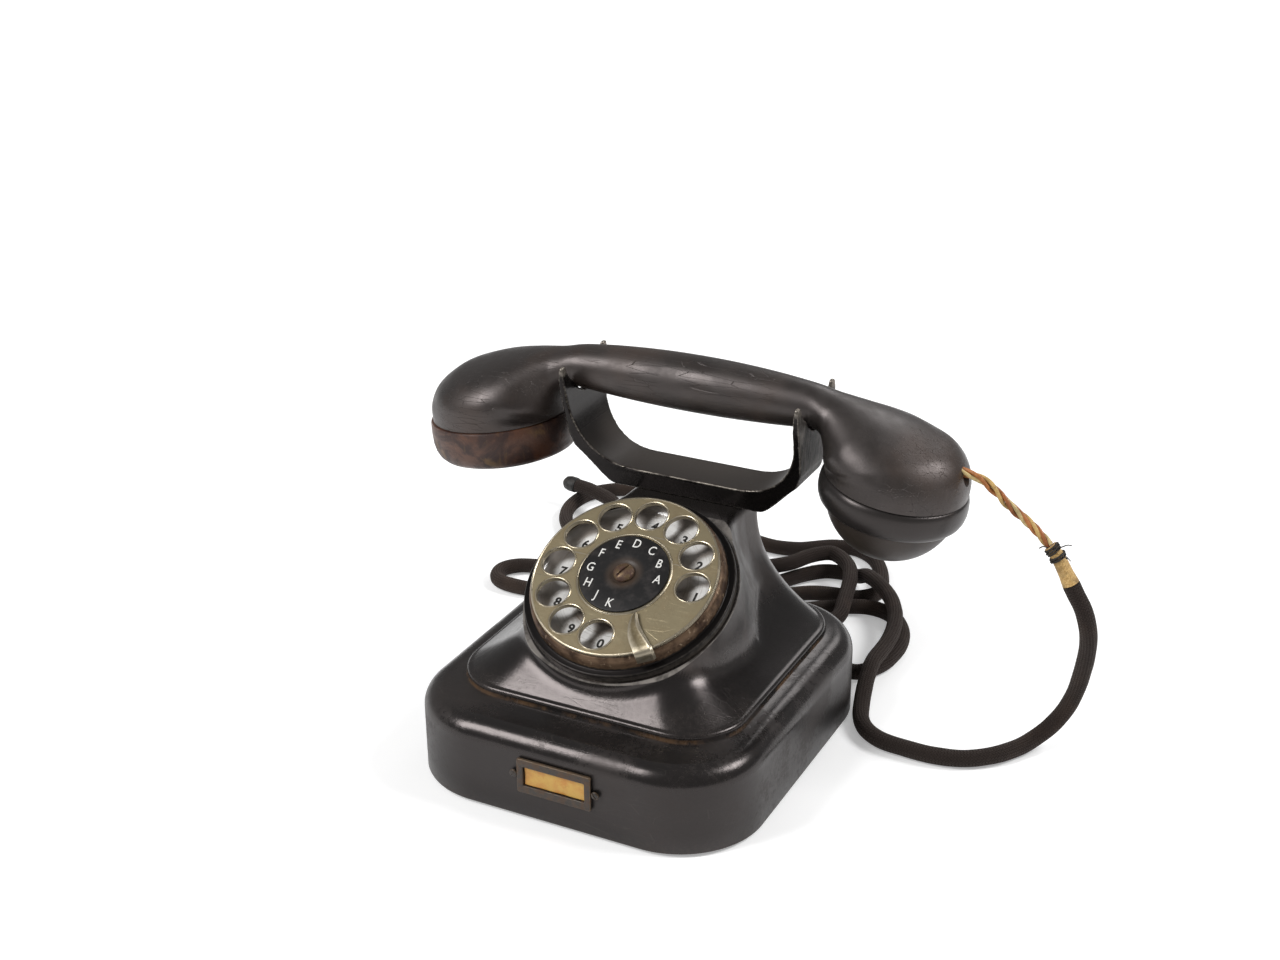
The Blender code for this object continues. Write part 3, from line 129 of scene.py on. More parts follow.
class Nodes:
    """A short way to lay out plain Blender nodes in one tree."""

    def __init__(self, tree):
        self.tree = tree

    def add(self, kind, **values):
        """A node with its settings, in small letters, and its inputs, which start with a capital."""
        made = self.tree.nodes.new("ShaderNode" + kind)
        for key, value in values.items():
            if key[0].isupper():
                self.feed(made.inputs[key.replace("_", " ")], value)
            else:
                setattr(made, key, value)
        return made

    def feed(self, socket, value):
        value = value.socket if isinstance(value, Flow) else value
        if isinstance(value, bpy.types.NodeSocket):
            self.tree.links.new(value, socket)
        else:
            socket.default_value = (*value, 1.0) if socket.type == "RGBA" else value

    def out(self, kind, output, **values):
        return Flow(self, self.add(kind, **values).outputs[output])

    def math(self, operation, *values, kind="Math", output=0):
        made = self.add(kind, operation=operation)
        for socket, value in zip(made.inputs, values):
            self.feed(socket, value)
        return Flow(self, made.outputs[output])

    def vector_math(self, operation, *values):
        return self.math(operation, *values, kind="VectorMath", output="Value")

    def far(self, x, y):
        return self.math("SQRT", x * x + y * y)

    def noise(self, scale, detail=3.0, roughness=0.5, at=None, distortion=0.0):
        return self.out("TexNoise", "Fac", Scale=scale, Detail=detail, Roughness=roughness,
                        Distortion=distortion, Vector=at or self.place())

    def place(self):
        """Where a point is on the piece, in metres."""
        return self.out("TexCoord", "Object")

    def drawn_out(self):
        """Places with the upright way stretched, for runs and streaks."""
        return self.out("Mapping", "Vector", Vector=self.place(), Scale=(1.0, 1.0, 0.3))

    def normal(self):
        return self.out("NewGeometry", "True Normal")

    def parts(self, vector):
        made = self.add("SeparateXYZ", Vector=vector)
        return [Flow(self, made.outputs[way]) for way in "XYZ"]

    def use(self, group, **values):
        """A shared effect, with this material's own values on its inputs."""
        made = self.add("Group", node_tree=group, **values)
        return {socket.name: Flow(self, socket) for socket in made.outputs}

    def wear(self, grain, cloud, edge):
        return self.use(wear, Grain=grain, Cloud=cloud, Edge=edge)

    def scratches(self, scale, width):
        return self.use(scratches, Scale=scale, Width=width)["Scratches"]


def laid(owner):
    """The emptied node tree of a new material or world."""
    owner.use_nodes = True
    owner.node_tree.nodes.clear()
    return Nodes(owner.node_tree)


half = FLOOR_SIZE / 2
floor_mesh = bpy.data.meshes.new("floor")
floor_mesh.from_pydata([(-half, -half, 0), (half, -half, 0), (half, half, 0), (-half, half, 0)], [],
                       [(0, 1, 2, 3)])
floor = placed("floor", floor_mesh)
floor_mesh.materials.append(bpy.data.materials.new("floor_paint"))
nodes = laid(floor_mesh.materials[0])
seen = nodes.add("LightPath")
far_lift = nodes.vector_math("LENGTH", nodes.place()).between(*LIT_REACH, FLOOR_LIFT, 1.0, "LINEAR")
lift = far_lift * seen.outputs["Is Camera Ray"] + nodes.math("MULTIPLY", seen.outputs["Is Glossy Ray"],
                                                             FLOOR_LIFT_GLOSSY)
nodes.add("OutputMaterial", Surface=nodes.out("BsdfPrincipled", 0, Base_Color=FLOOR_COLOUR, Roughness=0.9,
                                              Specular_IOR_Level=0.0, Emission_Color=WHITE,
                                              Emission_Strength=lift))
scene.world = bpy.data.worlds.new("studio")
nodes = laid(scene.world)
sky = nodes.out("LightPath", "Is Camera Ray").between(0.0, 1.0, SKY_LIGHT, 1.0)
nodes.add("OutputWorld", Surface=nodes.out("Background", 0, Color=WHITE, Strength=sky))

LAMPS = (                           # name, place, width, height, watts
    ("key_lamp", (-0.98, -1.1, 1.38), 0.68, 1.2, 29.0),
    ("right_lamp", (1.26, 0.5, 1.4), 0.75, 0.75, 23.0),
    ("back_lamp", (0.0, 1.6, 1.3), 0.8, 0.8, 5.0))
for name, place, width, height, watts in LAMPS:
    lamp = placed(name, bpy.data.lights.new(name, "AREA"))
    lamp.data.shape = "ELLIPSE"
    lamp.data.size, lamp.data.size_y, lamp.data.energy = width, height, watts
    lamp.location = place
    aim = Vector((PHONE_X, 0.0, 0.08)) - Vector(place)
    lamp.rotation_euler = aim.to_track_quat("-Z", "Y").to_euler()


# Cords: both are rubber-cored cords of 7.5 mm with a black-brown textile braid. The handset cord leaves
# the rear wall and ends at the handset in a whipping, from which bare wires go on into the mouth cup.
MM = 0.001
CORD_RADIUS = 3.75 * MM
CORD_ON_FLOOR = 4                   # height of a cord's middle where it lies on the floor, mm
BUSH_FACE = 81.5 + 3.0              # depth of the rear bushes' outer faces, mm
WIRE_ROUTE = [(118.6, 51.2, 127.5), (127, 51.2, 126), (133, 51.3, 122.8), (141, 51.4, 116.5),
              (148.5, 51.5, 110.5), (155, 51.6, 104.8), (158, 51.6, 102)]
WHIPPING_ROUTE = [(158.3, 51.6, 101.7), (160.3, 51.6, 99.5), (163.5, 51.6, 94.8), (168, 51.6, 86.8)]
HANDSET_CORD_ROUTE = [
    (168.25, 51.6, 86.35), (170.5, 51.6, 82.35), (173.9, 51.7, 76.5), (176, 52.8, 69), (176.3, 56.2, 60.5),
    (175.2, 60.2, 50.5), (173.2, 64, 39.9), (170.8, 66.6, 29.5), (167.2, 67, 19.5), (162, 64.8, 11),
    (156.4, 60, 5.8), (151.8, 53.2), (144.5, 42.8), (134, 34.6), (121, 31.2), (108, 31.4), (97.5, 32.8),
    (89, 37.8), (83.4, 45.5, 4.2), (80, 55, 5.5), (77.4, 65.5, 8.5), (75.8, 75, 11.4), (75, 83, 12.4),
    (75, 92.5, 12.4), (74.3, 105, 12.4), (71.6, 119.1, 12.4), (66.6, 132.5, 12.4), (59.2, 144.8, 12.4),
    (49.3, 154.8, 12.8), (41, 163.5, 10.4), (34, 169.6, 5.8), (26, 172.8, 4.2), (15.5, 170.5), (7, 161.5),
    (0, 150), (-8, 136.5), (-19, 126), (-33, 122.5), (-45, 129), (-46.5, 142, 4.4), (-36, 150, 6.6),
    (-21, 149, 10), (-8, 146.5, 12.4), (2.3, 155.5, 12.4), (8.8, 168, 12.4), (16.5, 175.2, 12.5),
    (24.5, 171.8, 12.3), (31.8, 162.8, 12.9), (36.4, 151.5, 12.6), (39.4, 140, 12), (42.7, 126.7, 12.4),
    (45.2, 115, 12.4), (43, 106, 12.2), (36, 101, 13.4), (27, 99.5, 15.2), (19, 96.5, 17.2), (16, 90, 18),
    (16, BUSH_FACE, 18)]
LINE_CORD_ROUTE = [
    (-16, BUSH_FACE, 18), (-16, 90, 18), (-13.5, 98, 17.2), (-5, 103, 14), (6, 102.5, 9.4), (17, 97.5, 5.4),
    (29, 91.5), (43, 87), (57, 83), (67.5, 83), (74, 92.5), (76.3, 104), (76, 116), (72.5, 127.8),
    (66, 137.6), (57.5, 143.2), (48.5, 143.8), (39.5, 140), (29, 133), (18, 124), (6, 114.5), (-9, 108),
    (-27, 104.5), (-48, 101), (-72, 97), (-96, 91), (-114, 87.6), (-127.5, 89.5), (-132.6, 99), (-127, 108),
    (-112.5, 114), (-101, 124), (-100.5, 139), (-112, 150), (-126, 159), (-135, 172), (-138.5, 187),
    (-135.5, 202), (-124.5, 213.5), (-107, 218.5), (-82, 214), (-58, 202), (-38, 190), (-20, 185.5),
    (-6, 188.5), (8, 198.5), (21, 201), (32.5, 194.8), (40.5, 184), (46.5, 170), (47.5, 158.5), (40, 151),
    (28, 149), (17, 145), (7.5, 137), (-1.5, 127), (-12, 117.5), (-28, 113), (-46, 114), (-59, 123),
    (-67, 139), (-79, 156, 4.6), (-95, 172, 7.4), (-113, 183.6, 11.4), (-130, 189.6, 12.8), (-138, 191, 12.8)]


def in_place(points):
    """Route points in metres, from points in millimetres. One without a height lies on the floor."""
    return [Vector((x * MM + PHONE_X, y * MM, (up[0] if up else CORD_ON_FLOOR) * MM)) for x, y, *up in points]


def smooth_route(points, spacing):
    """A smooth curve through the points, with straight first and last runs, read at even steps."""
    fine = [points[0]]
    for a, b, c, d in zip(points, points[1:], points[2:], points[3:]):
        for i in range(24):
            t = i / 24
            fine.append(0.5 * (2 * b + (c - a) * t + (2 * a - 5 * b + 4 * c - d) * t * t
                               + (3 * b - a - 3 * c + d) * t ** 3))
    fine += [points[-2], points[-1]]
    knots = np.array(fine)
    walked = np.concatenate([[0.0], np.cumsum(np.linalg.norm(np.diff(knots, axis=0), axis=1))])
    count = max(2, round(walked[-1] / spacing))
    at = np.linspace(0.0, walked[-1], count + 1)
    return [Vector(p) for p in np.stack([np.interp(at, walked, knots[:, axis]) for axis in range(3)], axis=1)]


def rings_along(route):
    """The two cross directions at each point of a route, turned as little as possible on the way."""
    ways = [(route[min(i + 1, len(route) - 1)] - route[max(i - 1, 0)]).normalized()
            for i in range(len(route))]
    side = ways[0].orthogonal().normalized()
    sides = []
    for way in ways:
        side = (side - way * side.dot(way)).normalized()
        sides.append((side, way.cross(side)))
    return sides


def clothe(mesh, paint):
    mesh.materials.clear()
    mesh.materials.append(paint)


def piece(name, mesh, paint=None, slot=None, sharp=None):
    """A mesh as an object of the scene. Without paint it is only there to cut with."""
    if sharp:
        mesh.shade_smooth()
        mesh.set_sharp_from_angle(angle=math.radians(sharp))
    made = placed(name, mesh)
    if paint:
        clothe(mesh, paint)
    return made


def settle(made, body, node=None):
    """Lets a piece ride on a body and, where one is named, take the place of a solid of the frame."""
    if node:
        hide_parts(node)
    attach(made, body)


def loft(name, rings, sharp, *look):
    """A closed solid through rings of equal point counts, with flat ends."""
    count, last = len(rings[0]), (len(rings) - 1) * len(rings[0])
    faces = [tuple(reversed(range(count)))]
    for i in range(0, last, count):
        for k in range(count):
            n = (k + 1) % count
            faces.append((i + k, i + n, i + count + n, i + count + k))
    faces.append(tuple(range(last, last + count)))
    mesh = bpy.data.meshes.new(name)
    mesh.from_pydata([point for ring in rings for point in ring], [], faces)
    return piece(name, mesh, *look, sharp=sharp)


def tube(name, route, radius_at, sides, *look):
    """A closed tube. Its lay attribute holds the way round, as cosine and sine, and the way along."""
    rings, lay, walked = [], [], 0.0
    turns = [2 * math.pi * k / sides for k in range(sides)]
    for i, (centre, (across, over)) in enumerate(zip(route, rings_along(route))):
        if i:
            walked += (centre - route[i - 1]).length
        rings.append([centre + (across * math.cos(t) + over * math.sin(t)) * radius_at(walked, t)
                      for t in turns])
        lay += [value for t in turns for value in (math.cos(t), math.sin(t), walked)]
    made = loft(name, rings, 60.0, *look)
    made.data.attributes.new("lay", "FLOAT_VECTOR", "POINT").data.foreach_set("vector", lay)
    return made


def finish(name, build, **sockets):
    """A material with plain shader values from sockets and, from the build function, what varies.

    That is its colour, roughness, relief as (height, depth, strength) and, if it varies, metal."""
    made = bpy.data.materials.new(name)
    nodes = laid(made)
    colour, rough, relief, *metal = build(nodes)
    shader = nodes.add("BsdfPrincipled", Base_Color=colour, Roughness=rough, **sockets)
    if relief:
        height, depth, *strength = relief
        nodes.feed(shader.inputs["Normal"], nodes.out("Bump", "Normal", Height=height, Distance=depth,
                                                      Strength=strength[0] if strength else 1.0))
    if metal:
        nodes.feed(shader.inputs["Metallic"], metal[0])
    nodes.add("OutputMaterial", Surface=shader.outputs[0])
    return made


def effect(name, inputs, build):
    """A shared node group with named number inputs and outputs."""
    group = bpy.data.node_groups.new(name, "ShaderNodeTree")
    for label, value in inputs.items():
        group.interface.new_socket(label, in_out="INPUT", socket_type="NodeSocketFloat").default_value = value
    nodes = Nodes(group)
    given = {socket.name: Flow(nodes, socket) for socket in group.nodes.new("NodeGroupInput").outputs}
    made = build(nodes, given)
    for label in made:
        group.interface.new_socket(label, in_out="OUTPUT", socket_type="NodeSocketFloat")
    result = group.nodes.new("NodeGroupOutput")
    for label, value in made.items():
        nodes.feed(result.inputs[label], value)
    return group


def layered(colour, *coats):
    """A colour with coats of (share, tone) over it."""
    for share, tone in coats:
        colour = share.blend(colour, tone)
    return colour


def braid_nodes(nodes, given):
    """Two families of yarns wound against each other, each passing over and under in turn."""
    x, y, z = nodes.parts(nodes.out("Attribute", "Vector", attribute_name="lay"))
    round_way = nodes.math("ARCTAN2", y, x) / (2 * math.pi) * given["Carriers"]
    along = z / given["Pick"]
    first, second = round_way + along, round_way - along
    over = nodes.math("PINGPONG", nodes.math("FLOOR", first) + nodes.math("FLOOR", second), 1.0)
    heights = [nodes.math("ABSOLUTE", nodes.math("SINE", way * math.pi)) for way in (first, second)]
    return {"Height": nodes.out("Mix", "Result", data_type="FLOAT", Factor=over, A=heights[0], B=heights[1])}


braid_weave = effect("braid_weave", {"Carriers": 18.0, "Pick": 0.0013}, braid_nodes)


def cord_braid(nodes):
    weave = nodes.use(braid_weave)["Height"]
    fuzz = nodes.noise(2600.0, 2.0, 0.7)
    worn = nodes.noise(38.0, 4.0, 0.6).between(0.5, 0.72)
    colour = layered(weave.between(0.1, 0.95).blend((0.006, 0.0046, 0.004), (0.023, 0.0165, 0.014)),
                     (worn * 0.5, (0.045, 0.029, 0.02)),
                     (fuzz.between(0.66, 0.8, 0.0, 0.5), (0.09, 0.075, 0.06)))
    return colour, weave.between(0.0, 1.0, 0.95, 0.75), (weave + fuzz * 0.8, 0.00022)


WARM = (1.0, 0.86, 0.8)
braid = finish("black_braid", cord_braid, Specular_IOR_Level=0.15, Specular_Tint=WARM, Sheen_Weight=0.09,
               Sheen_Roughness=0.6, Sheen_Tint=WARM)

random.seed(7)
swell = [random.uniform(0, 2 * math.pi) for _ in range(4)]


def cord_radius(walked, _):
    """The braid is a little fuller in some places than in others."""
    wave = math.sin(walked * 210 + swell[0]) + 0.7 * math.sin(walked * 470 + swell[1])
    return CORD_RADIUS * (0.985 + 0.009 * wave)


CORD_STEP = 1.6 * MM
line_route = smooth_route(in_place(LINE_CORD_ROUTE), CORD_STEP)
line_cord = tube("line_cord_braid", line_route, cord_radius, 24, braid, "cord_braid")
settle(line_cord, "base", "line_cord")
handset_route = list(reversed(smooth_route(in_place(HANDSET_CORD_ROUTE), CORD_STEP)))
handset_cord = tube("handset_cord_braid", handset_route, cord_radius, 24, braid, "cord_braid")
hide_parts("handset_cord")


def route_length(route):
    return sum((b - a).length for a, b in zip(route, route[1:]))


# Bare wires: four tinned strands in tan and cream rubber, pulled out of the braid and twisted loosely
# together. They leave the mouth cup through its round hole and end under the thread whipping.
WIRES = (("wire_tan_1", 0.0, (0.42, 0.155, 0.045)), ("wire_cream_1", 1.5, (0.62, 0.47, 0.22)),
         ("wire_tan_2", 3.1, (0.35, 0.12, 0.035)), ("wire_cream_2", 4.5, (0.55, 0.36, 0.13)))
WIRE_RADIUS = 0.85 * MM
WIRE_SPREAD = 1.25 * MM
WIRE_TWIST = 260.0                  # radians a metre
wire_route = smooth_route(in_place(WIRE_ROUTE), 0.8 * MM)
wire_frames = rings_along(wire_route)
wire_total = route_length(wire_route)


def darker(colour, share):
    return tuple(value * share for value in colour)


def rubber_nodes(colour):
    def build(nodes):
        stain = nodes.noise(160.0, 4.0, 0.65).between(0.38, 0.7)
        spots = nodes.noise(900.0, 2.0).between(0.62, 0.75)
        tint = layered((stain * 0.65).blend(colour, darker(colour, 0.35)), (spots * 0.5, (0.12, 0.05, 0.02)))
        return tint, stain.between(0.0, 1.0, 0.42, 0.7), (nodes.noise(1400.0), 0.00006)
    return build


wires = []
for name, start, colour in WIRES:
    strand, walked = [], 0.0
    for i, (centre, (across, over)) in enumerate(zip(wire_route, wire_frames)):
        if i:
            walked += (centre - wire_route[i - 1]).length
        share = walked / wire_total
        loose = 0.9 + 0.55 * math.sin(math.pi * min(1.0, share * 1.15)) * math.sin(7 * share + start)
        turn = start + WIRE_TWIST * walked * (0.7 + 0.3 * share)
        strand.append(centre + (across * math.cos(turn) + over * math.sin(turn)) * WIRE_SPREAD * loose)
    rubber = finish(name, rubber_nodes(colour), Specular_IOR_Level=0.4)
    wires.append(tube(name, strand, lambda *_: WIRE_RADIUS, 12, rubber, "wire_rubber"))
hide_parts("handset_wires")

# Whipping: the frayed end of the braid is bound with gold thread, and above that with black thread whose
# ends stick out. Both are wound by hand over the wires.
GOLD_RADIUS = 3.15 * MM
TURN_PITCH = 0.55 * MM
whipping_route = smooth_route(in_place(WHIPPING_ROUTE), 0.18 * MM)
whipping_total = route_length(whipping_route)


def gold_radius(walked, turn):
    share = walked / whipping_total
    thread = abs(math.sin(math.pi * walked / TURN_PITCH - turn / 2))
    flare = 0.35 * MM * max(0.0, share - 0.75) * 4
    return GOLD_RADIUS - 0.55 * MM * (1 - share) + 0.16 * MM * thread + flare


def thread_nodes(dark, light, scale):
    def build(nodes):
        twist = nodes.noise(scale, 3.0, 0.7)
        dirt = nodes.noise(220.0, 3.0).between(0.42, 0.68)
        tint = layered(twist.between(0.3, 0.7).blend(dark, light), (dirt * 0.55, darker(dark, 0.3)))
        return tint, twist.between(0.0, 1.0, 0.8, 0.5), (twist, 0.0001)
    return build


gold_thread = finish("gold_thread", thread_nodes((0.38, 0.2, 0.05), (0.72, 0.5, 0.2), 1800.0),
                     Sheen_Weight=0.2)
black_thread = finish("black_thread", thread_nodes((0.012, 0.01, 0.009), (0.05, 0.042, 0.035), 2400.0),
                      Specular_IOR_Level=0.3)
whipping = tube("whipping_gold", whipping_route, gold_radius, 28, gold_thread, "whipping_thread")
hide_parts("cord_whipping")
THREAD_RADIUS = 0.42 * MM


def wound(route, turns, start, length, radius, wander, seed):
    """Points of a thread wound round a route, a little unevenly."""
    random.seed(seed)
    phases = [random.uniform(0, 2 * math.pi) for _ in range(3)]
    frames = rings_along(route)
    made = []
    steps = int(turns * 22)
    for i in range(steps + 1):
        share = i / steps
        at = start + length * share + wander * math.sin(3.1 * share * turns + phases[0])
        k = min(len(route) - 1, max(0, round(at / whipping_total * (len(route) - 1))))
        across, over = frames[k]
        turn = 2 * math.pi * turns * share + phases[1]
        reach = radius * (1 + 0.05 * math.sin(5 * share * turns + phases[2]))
        made.append(route[k] + (across * math.cos(turn) + over * math.sin(turn)) * reach)
    return made


binding = []
BINDINGS = ((0.4 * MM, 2.3 * MM, 4.3, 3.0 * MM), (4.2 * MM, 2.4 * MM, 4.2, 3.25 * MM))
for number, (start, length, turns, radius) in enumerate(BINDINGS, 1):
    loops = wound(whipping_route, turns, start, length, radius, 0.25 * MM, 20 + number)
    binding.append(tube(f"binding_thread_{number}", smooth_route(loops, 0.5 * MM),
                        lambda *_: THREAD_RADIUS, 8, black_thread, "whipping_thread"))
knot = whipping_route[int(len(whipping_route) * 0.12)]
FRAYS = (((-2.2, -1.8, 1.8), (-5.2, -3.2, 1.2)), ((3.4, -1.0, 2.6), (7.4, -0.6, 4.0)),
         ((2.6, 2.2, -2.2), (6.8, 2.6, -4.6)), ((3.2, -1.6, -1.4), (6.6, -2.8, -1.2)),
         ((1.2, -3.0, 2.2), (1.6, -4.0, 5.4)))
for number, (near, far) in enumerate(FRAYS, 1):
    near, far = (Vector(p) * MM for p in (near, far))
    start = knot + near * 0.7
    bend = knot + near.lerp(far, 0.5) + Vector((0.0, 0.0, 0.5 * MM))
    tip = knot + far
    end = smooth_route([knot + near * 0.3, start, bend, tip.lerp(bend, 0.3), tip], 0.4 * MM)
    binding.append(tube(f"binding_end_{number}", end, lambda walked, _: THREAD_RADIUS * (0.8 - walked * 40),
                        6, black_thread, "whipping_thread"))
for part in [*wires, whipping, *binding]:
    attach(part, "handset")
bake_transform(handset_cord)

# Sleeve: the line cord's free end is closed with a short moulded rubber cap of the braid's colour. The
# bushes in the rear wall and the feet under the plate are of the same rubber.


def two_tone(spots, tones, rough, relief=None, metal=None):
    """Two tones and two roughnesses in clouds: spots are the noise's values and its low and high end."""
    def build(nodes):
        share = nodes.noise(*spots[:3]).between(*spots[3:])
        made = [share.blend(*tones), share.between(0.0, 1.0, *rough),
                relief and (nodes.noise(*relief[:-1]), relief[-1])]
        return made + [share.between(0.0, 1.0, *metal)] if metal else made
    return build


def paint_nodes(paint, *names):
    """Gives solids of the frame their finish."""
    for name in names:
        clothe(bpy.data.objects[name].data, paint)


black_rubber = finish("black_rubber", two_tone(
    spots=(300.0, 4.0, 0.6, 0.4, 0.75), tones=((0.012, 0.011, 0.01), (0.045, 0.04, 0.036)),
    rough=(0.45, 0.7), relief=(900.0, 0.00005)), Specular_IOR_Level=0.4)
paint_nodes(black_rubber, "line_connector", "handset_cord_bush", "line_cord_bush", "foot_1", "foot_2",
            "foot_3", "foot_4")

# Housing: one sheet of steel, deep drawn from the plinth's wall over the shoulder and the step up to the
# neck, and stove enamelled black. The enamel is rubbed thin on its edges and dull where hands reach.
PLINTH_HALF_X = 76.2 * MM
PLINTH_HALF_Y = 81.5 * MM
PLINTH_CORNER = 37.0 * MM
PLINTH_WALL_TOP = 30.0 * MM
SHOULDER = 8.5 * MM
HOUSING_BOTTOM = 1.5 * MM
SHEET = 2.0 * MM
STEP_HALF_X = 63.6 * MM
STEP_HALF_Y = 65.0 * MM
STEP_CENTRE_Y = 5.8 * MM
STEP_CORNER = 26.0 * MM
STEP_FOOT = PLINTH_WALL_TOP + SHOULDER + 0.4 * MM
STEP_TOP = STEP_FOOT + 3.6 * MM
STEP_ROUND = 1.6 * MM
NECK_HALF_X = 27.0 * MM
NECK_FRONT = 33.0 * MM
NECK_REAR = 67.0 * MM
NECK_CORNER = 13.0 * MM
NECK_FRONT_CORNER = 6.5 * MM
NECK_TOP = 94.5 * MM
NECK_ROUND = 4.4 * MM
NECK_EDGE = 3.4 * MM                # height of the rounding under the neck's top
NECK_CORE_Y = 0.6 * NECK_FRONT + 0.4 * NECK_REAR
SIDE_FLARE = 2.8
FRONT_FLARE = 0.64
DRUM_BLEND = (5.0 * MM, 12.0 * MM)     # at the step and higher up
DRUM_RADIUS = 46.5 * MM
DRUM_BACK = 40.0 * MM
DIAL_Y = -16.9 * MM
DIAL_Z = 85.2 * MM
DIAL_TILT = math.radians(28.8)
DIAL_LIP = 12.0 * MM
CASE_RADIUS = 42.0 * MM
GAP = 0.3 * MM


def rectangle_distance(x, y, half_x, half_y, corner):
    """Distance to a rounded rectangle centred on the origin, negative inside."""
    qx = np.abs(x) - half_x + corner
    qy = np.abs(y) - half_y + corner
    return np.hypot(np.maximum(qx, 0.0), np.maximum(qy, 0.0)) + np.minimum(np.maximum(qx, qy), 0.0) - corner


def plinth_distance(x, y, _):
    return rectangle_distance(x, y, PLINTH_HALF_X, PLINTH_HALF_Y, PLINTH_CORNER)


def step_distance(x, y, _):
    return rectangle_distance(x, y - STEP_CENTRE_Y, STEP_HALF_X, STEP_HALF_Y, STEP_CORNER)


def neck_distance(x, y, z):
    """Distance to the upper housing at height z: the flared neck joined softly to the dial drum."""
    left = max(1.0 - (z - STEP_TOP) / (NECK_TOP - STEP_TOP), 0.0)
    side = left ** SIDE_FLARE
    half_x = NECK_HALF_X + (STEP_HALF_X - STEP_ROUND - NECK_HALF_X) * side
    step_front = STEP_CENTRE_Y - STEP_HALF_Y + STEP_ROUND
    step_rear = STEP_CENTRE_Y + STEP_HALF_Y - STEP_ROUND
    front = NECK_FRONT + (step_front - NECK_FRONT) * left ** FRONT_FLARE
    rear = NECK_REAR + (step_rear - NECK_REAR) * side
    tight = np.where(y < (front + rear) / 2, NECK_FRONT_CORNER, NECK_CORNER)
    corner = tight + (STEP_CORNER - tight) * side
    neck = rectangle_distance(x, y - (front + rear) / 2, half_x, (rear - front) / 2, corner)
    along = -math.sin(DIAL_TILT) * (y - DIAL_Y) + math.cos(DIAL_TILT) * (z - DIAL_Z)
    up = math.cos(DIAL_TILT) * (y - DIAL_Y) + math.sin(DIAL_TILT) * (z - DIAL_Z)
    drum = np.maximum(np.hypot(x, up) - DRUM_RADIUS, -along - DRUM_BACK)
    blend = DRUM_BLEND[0] + (DRUM_BLEND[1] - DRUM_BLEND[0]) * min(max((z - STEP_TOP) / (22 * MM), 0.0), 1.0)
    overlap = np.maximum(blend - np.abs(neck - drum), 0.0)
    joined = np.minimum(neck, drum) - overlap * overlap / (4 * blend)
    step = rectangle_distance(x, y - STEP_CENTRE_Y, STEP_HALF_X - STEP_ROUND, STEP_HALF_Y - STEP_ROUND,
                              STEP_CORNER - STEP_ROUND)
    return np.maximum(joined, step)


def ray_ring(distance, centre_y, z, inset, count, height=None):
    """Points where rays at even angles from the middle leave the section at height z."""
    turn = 2 * math.pi * (np.arange(count) + 0.5) / count
    near, far = np.zeros(count), np.full(count, 160.0 * MM)
    for _ in range(30):
        middle = (near + far) / 2
        inside = distance(np.cos(turn) * middle, centre_y + np.sin(turn) * middle, z) + inset < 0
        near, far = np.where(inside, middle, near), np.where(inside, far, middle)
    height = z if height is None else height
    return [(PHONE_X + c * r, centre_y + s * r, height) for c, s, r in zip(np.cos(turn), np.sin(turn), near)]


def rounding(radius, count, start, end):
    """(inset, rise) pairs round an edge, from one angle in degrees to another."""
    turns = [math.radians(start + (end - start) * i / count) for i in range(count + 1)]
    return [(radius * (1 - math.cos(t)), radius * math.sin(t)) for t in turns]


def shell_rings(inset, count, levels):
    """Rings of the shell's outside, or of its inside when inset is the sheet's thickness."""
    start = HOUSING_BOTTOM if inset == 0 else HOUSING_BOTTOM - SHEET
    made = []
    if inset == 0:
        made += [ray_ring(plinth_distance, 0.0, start + rise, over, count) for over, rise in
                 ((0.7 * MM, 0.0), (0.25 * MM, 0.15 * MM), (0.0, 0.7 * MM))]
    else:
        made.append(ray_ring(plinth_distance, 0.0, start, inset, count))
    made += [ray_ring(plinth_distance, 0.0, PLINTH_WALL_TOP * share, inset, count)
             for share in (0.35, 0.7, 1.0)]
    for over, rise in rounding(SHOULDER - inset, 12, 7.5, 90):
        made.append(ray_ring(plinth_distance, 0.0, PLINTH_WALL_TOP + rise, inset + over, count))
    step = [(-0.9 * MM, STEP_FOOT - 0.25 * MM), (-0.25 * MM, STEP_FOOT), (0.0, STEP_FOOT + 0.7 * MM)]
    step += [(over, STEP_TOP - STEP_ROUND + rise) for over, rise in rounding(STEP_ROUND, 5, 0, 75)]
    for over, z in step:
        made.append(ray_ring(step_distance, STEP_CENTRE_Y, z - inset, inset + over, count))
    for rise in levels:
        z = STEP_TOP + rise * (NECK_TOP - NECK_EDGE - STEP_TOP)
        centre_y = STEP_CENTRE_Y + rise * (NECK_CORE_Y - STEP_CENTRE_Y)
        made.append(ray_ring(neck_distance, centre_y, z, inset, count, z - inset))
    for over, rise in rounding(NECK_ROUND, 10, 9, 90):
        made.append(ray_ring(neck_distance, NECK_CORE_Y, NECK_TOP - NECK_EDGE, inset + over, count,
                             NECK_TOP - NECK_EDGE + rise - inset))
    return made


UPRIGHT = Matrix.Identity(4)
DIAL_FRAME = Matrix.Translation((PHONE_X, DIAL_Y, DIAL_Z)) @ Matrix.Rotation(DIAL_TILT, 4, "X")


def meshed(name, shape, at=UPRIGHT):
    """The mesh of a bmesh, put in its place."""
    mesh = bpy.data.meshes.new(name)
    shape.to_mesh(mesh)
    shape.free()
    mesh.transform(at)
    return mesh


def shaped(thing):
    """The mesh that comes out of a curve, a text or a piece with modifiers."""
    return bpy.data.meshes.new_from_object(thing.evaluated_get(bpy.context.evaluated_depsgraph_get()))


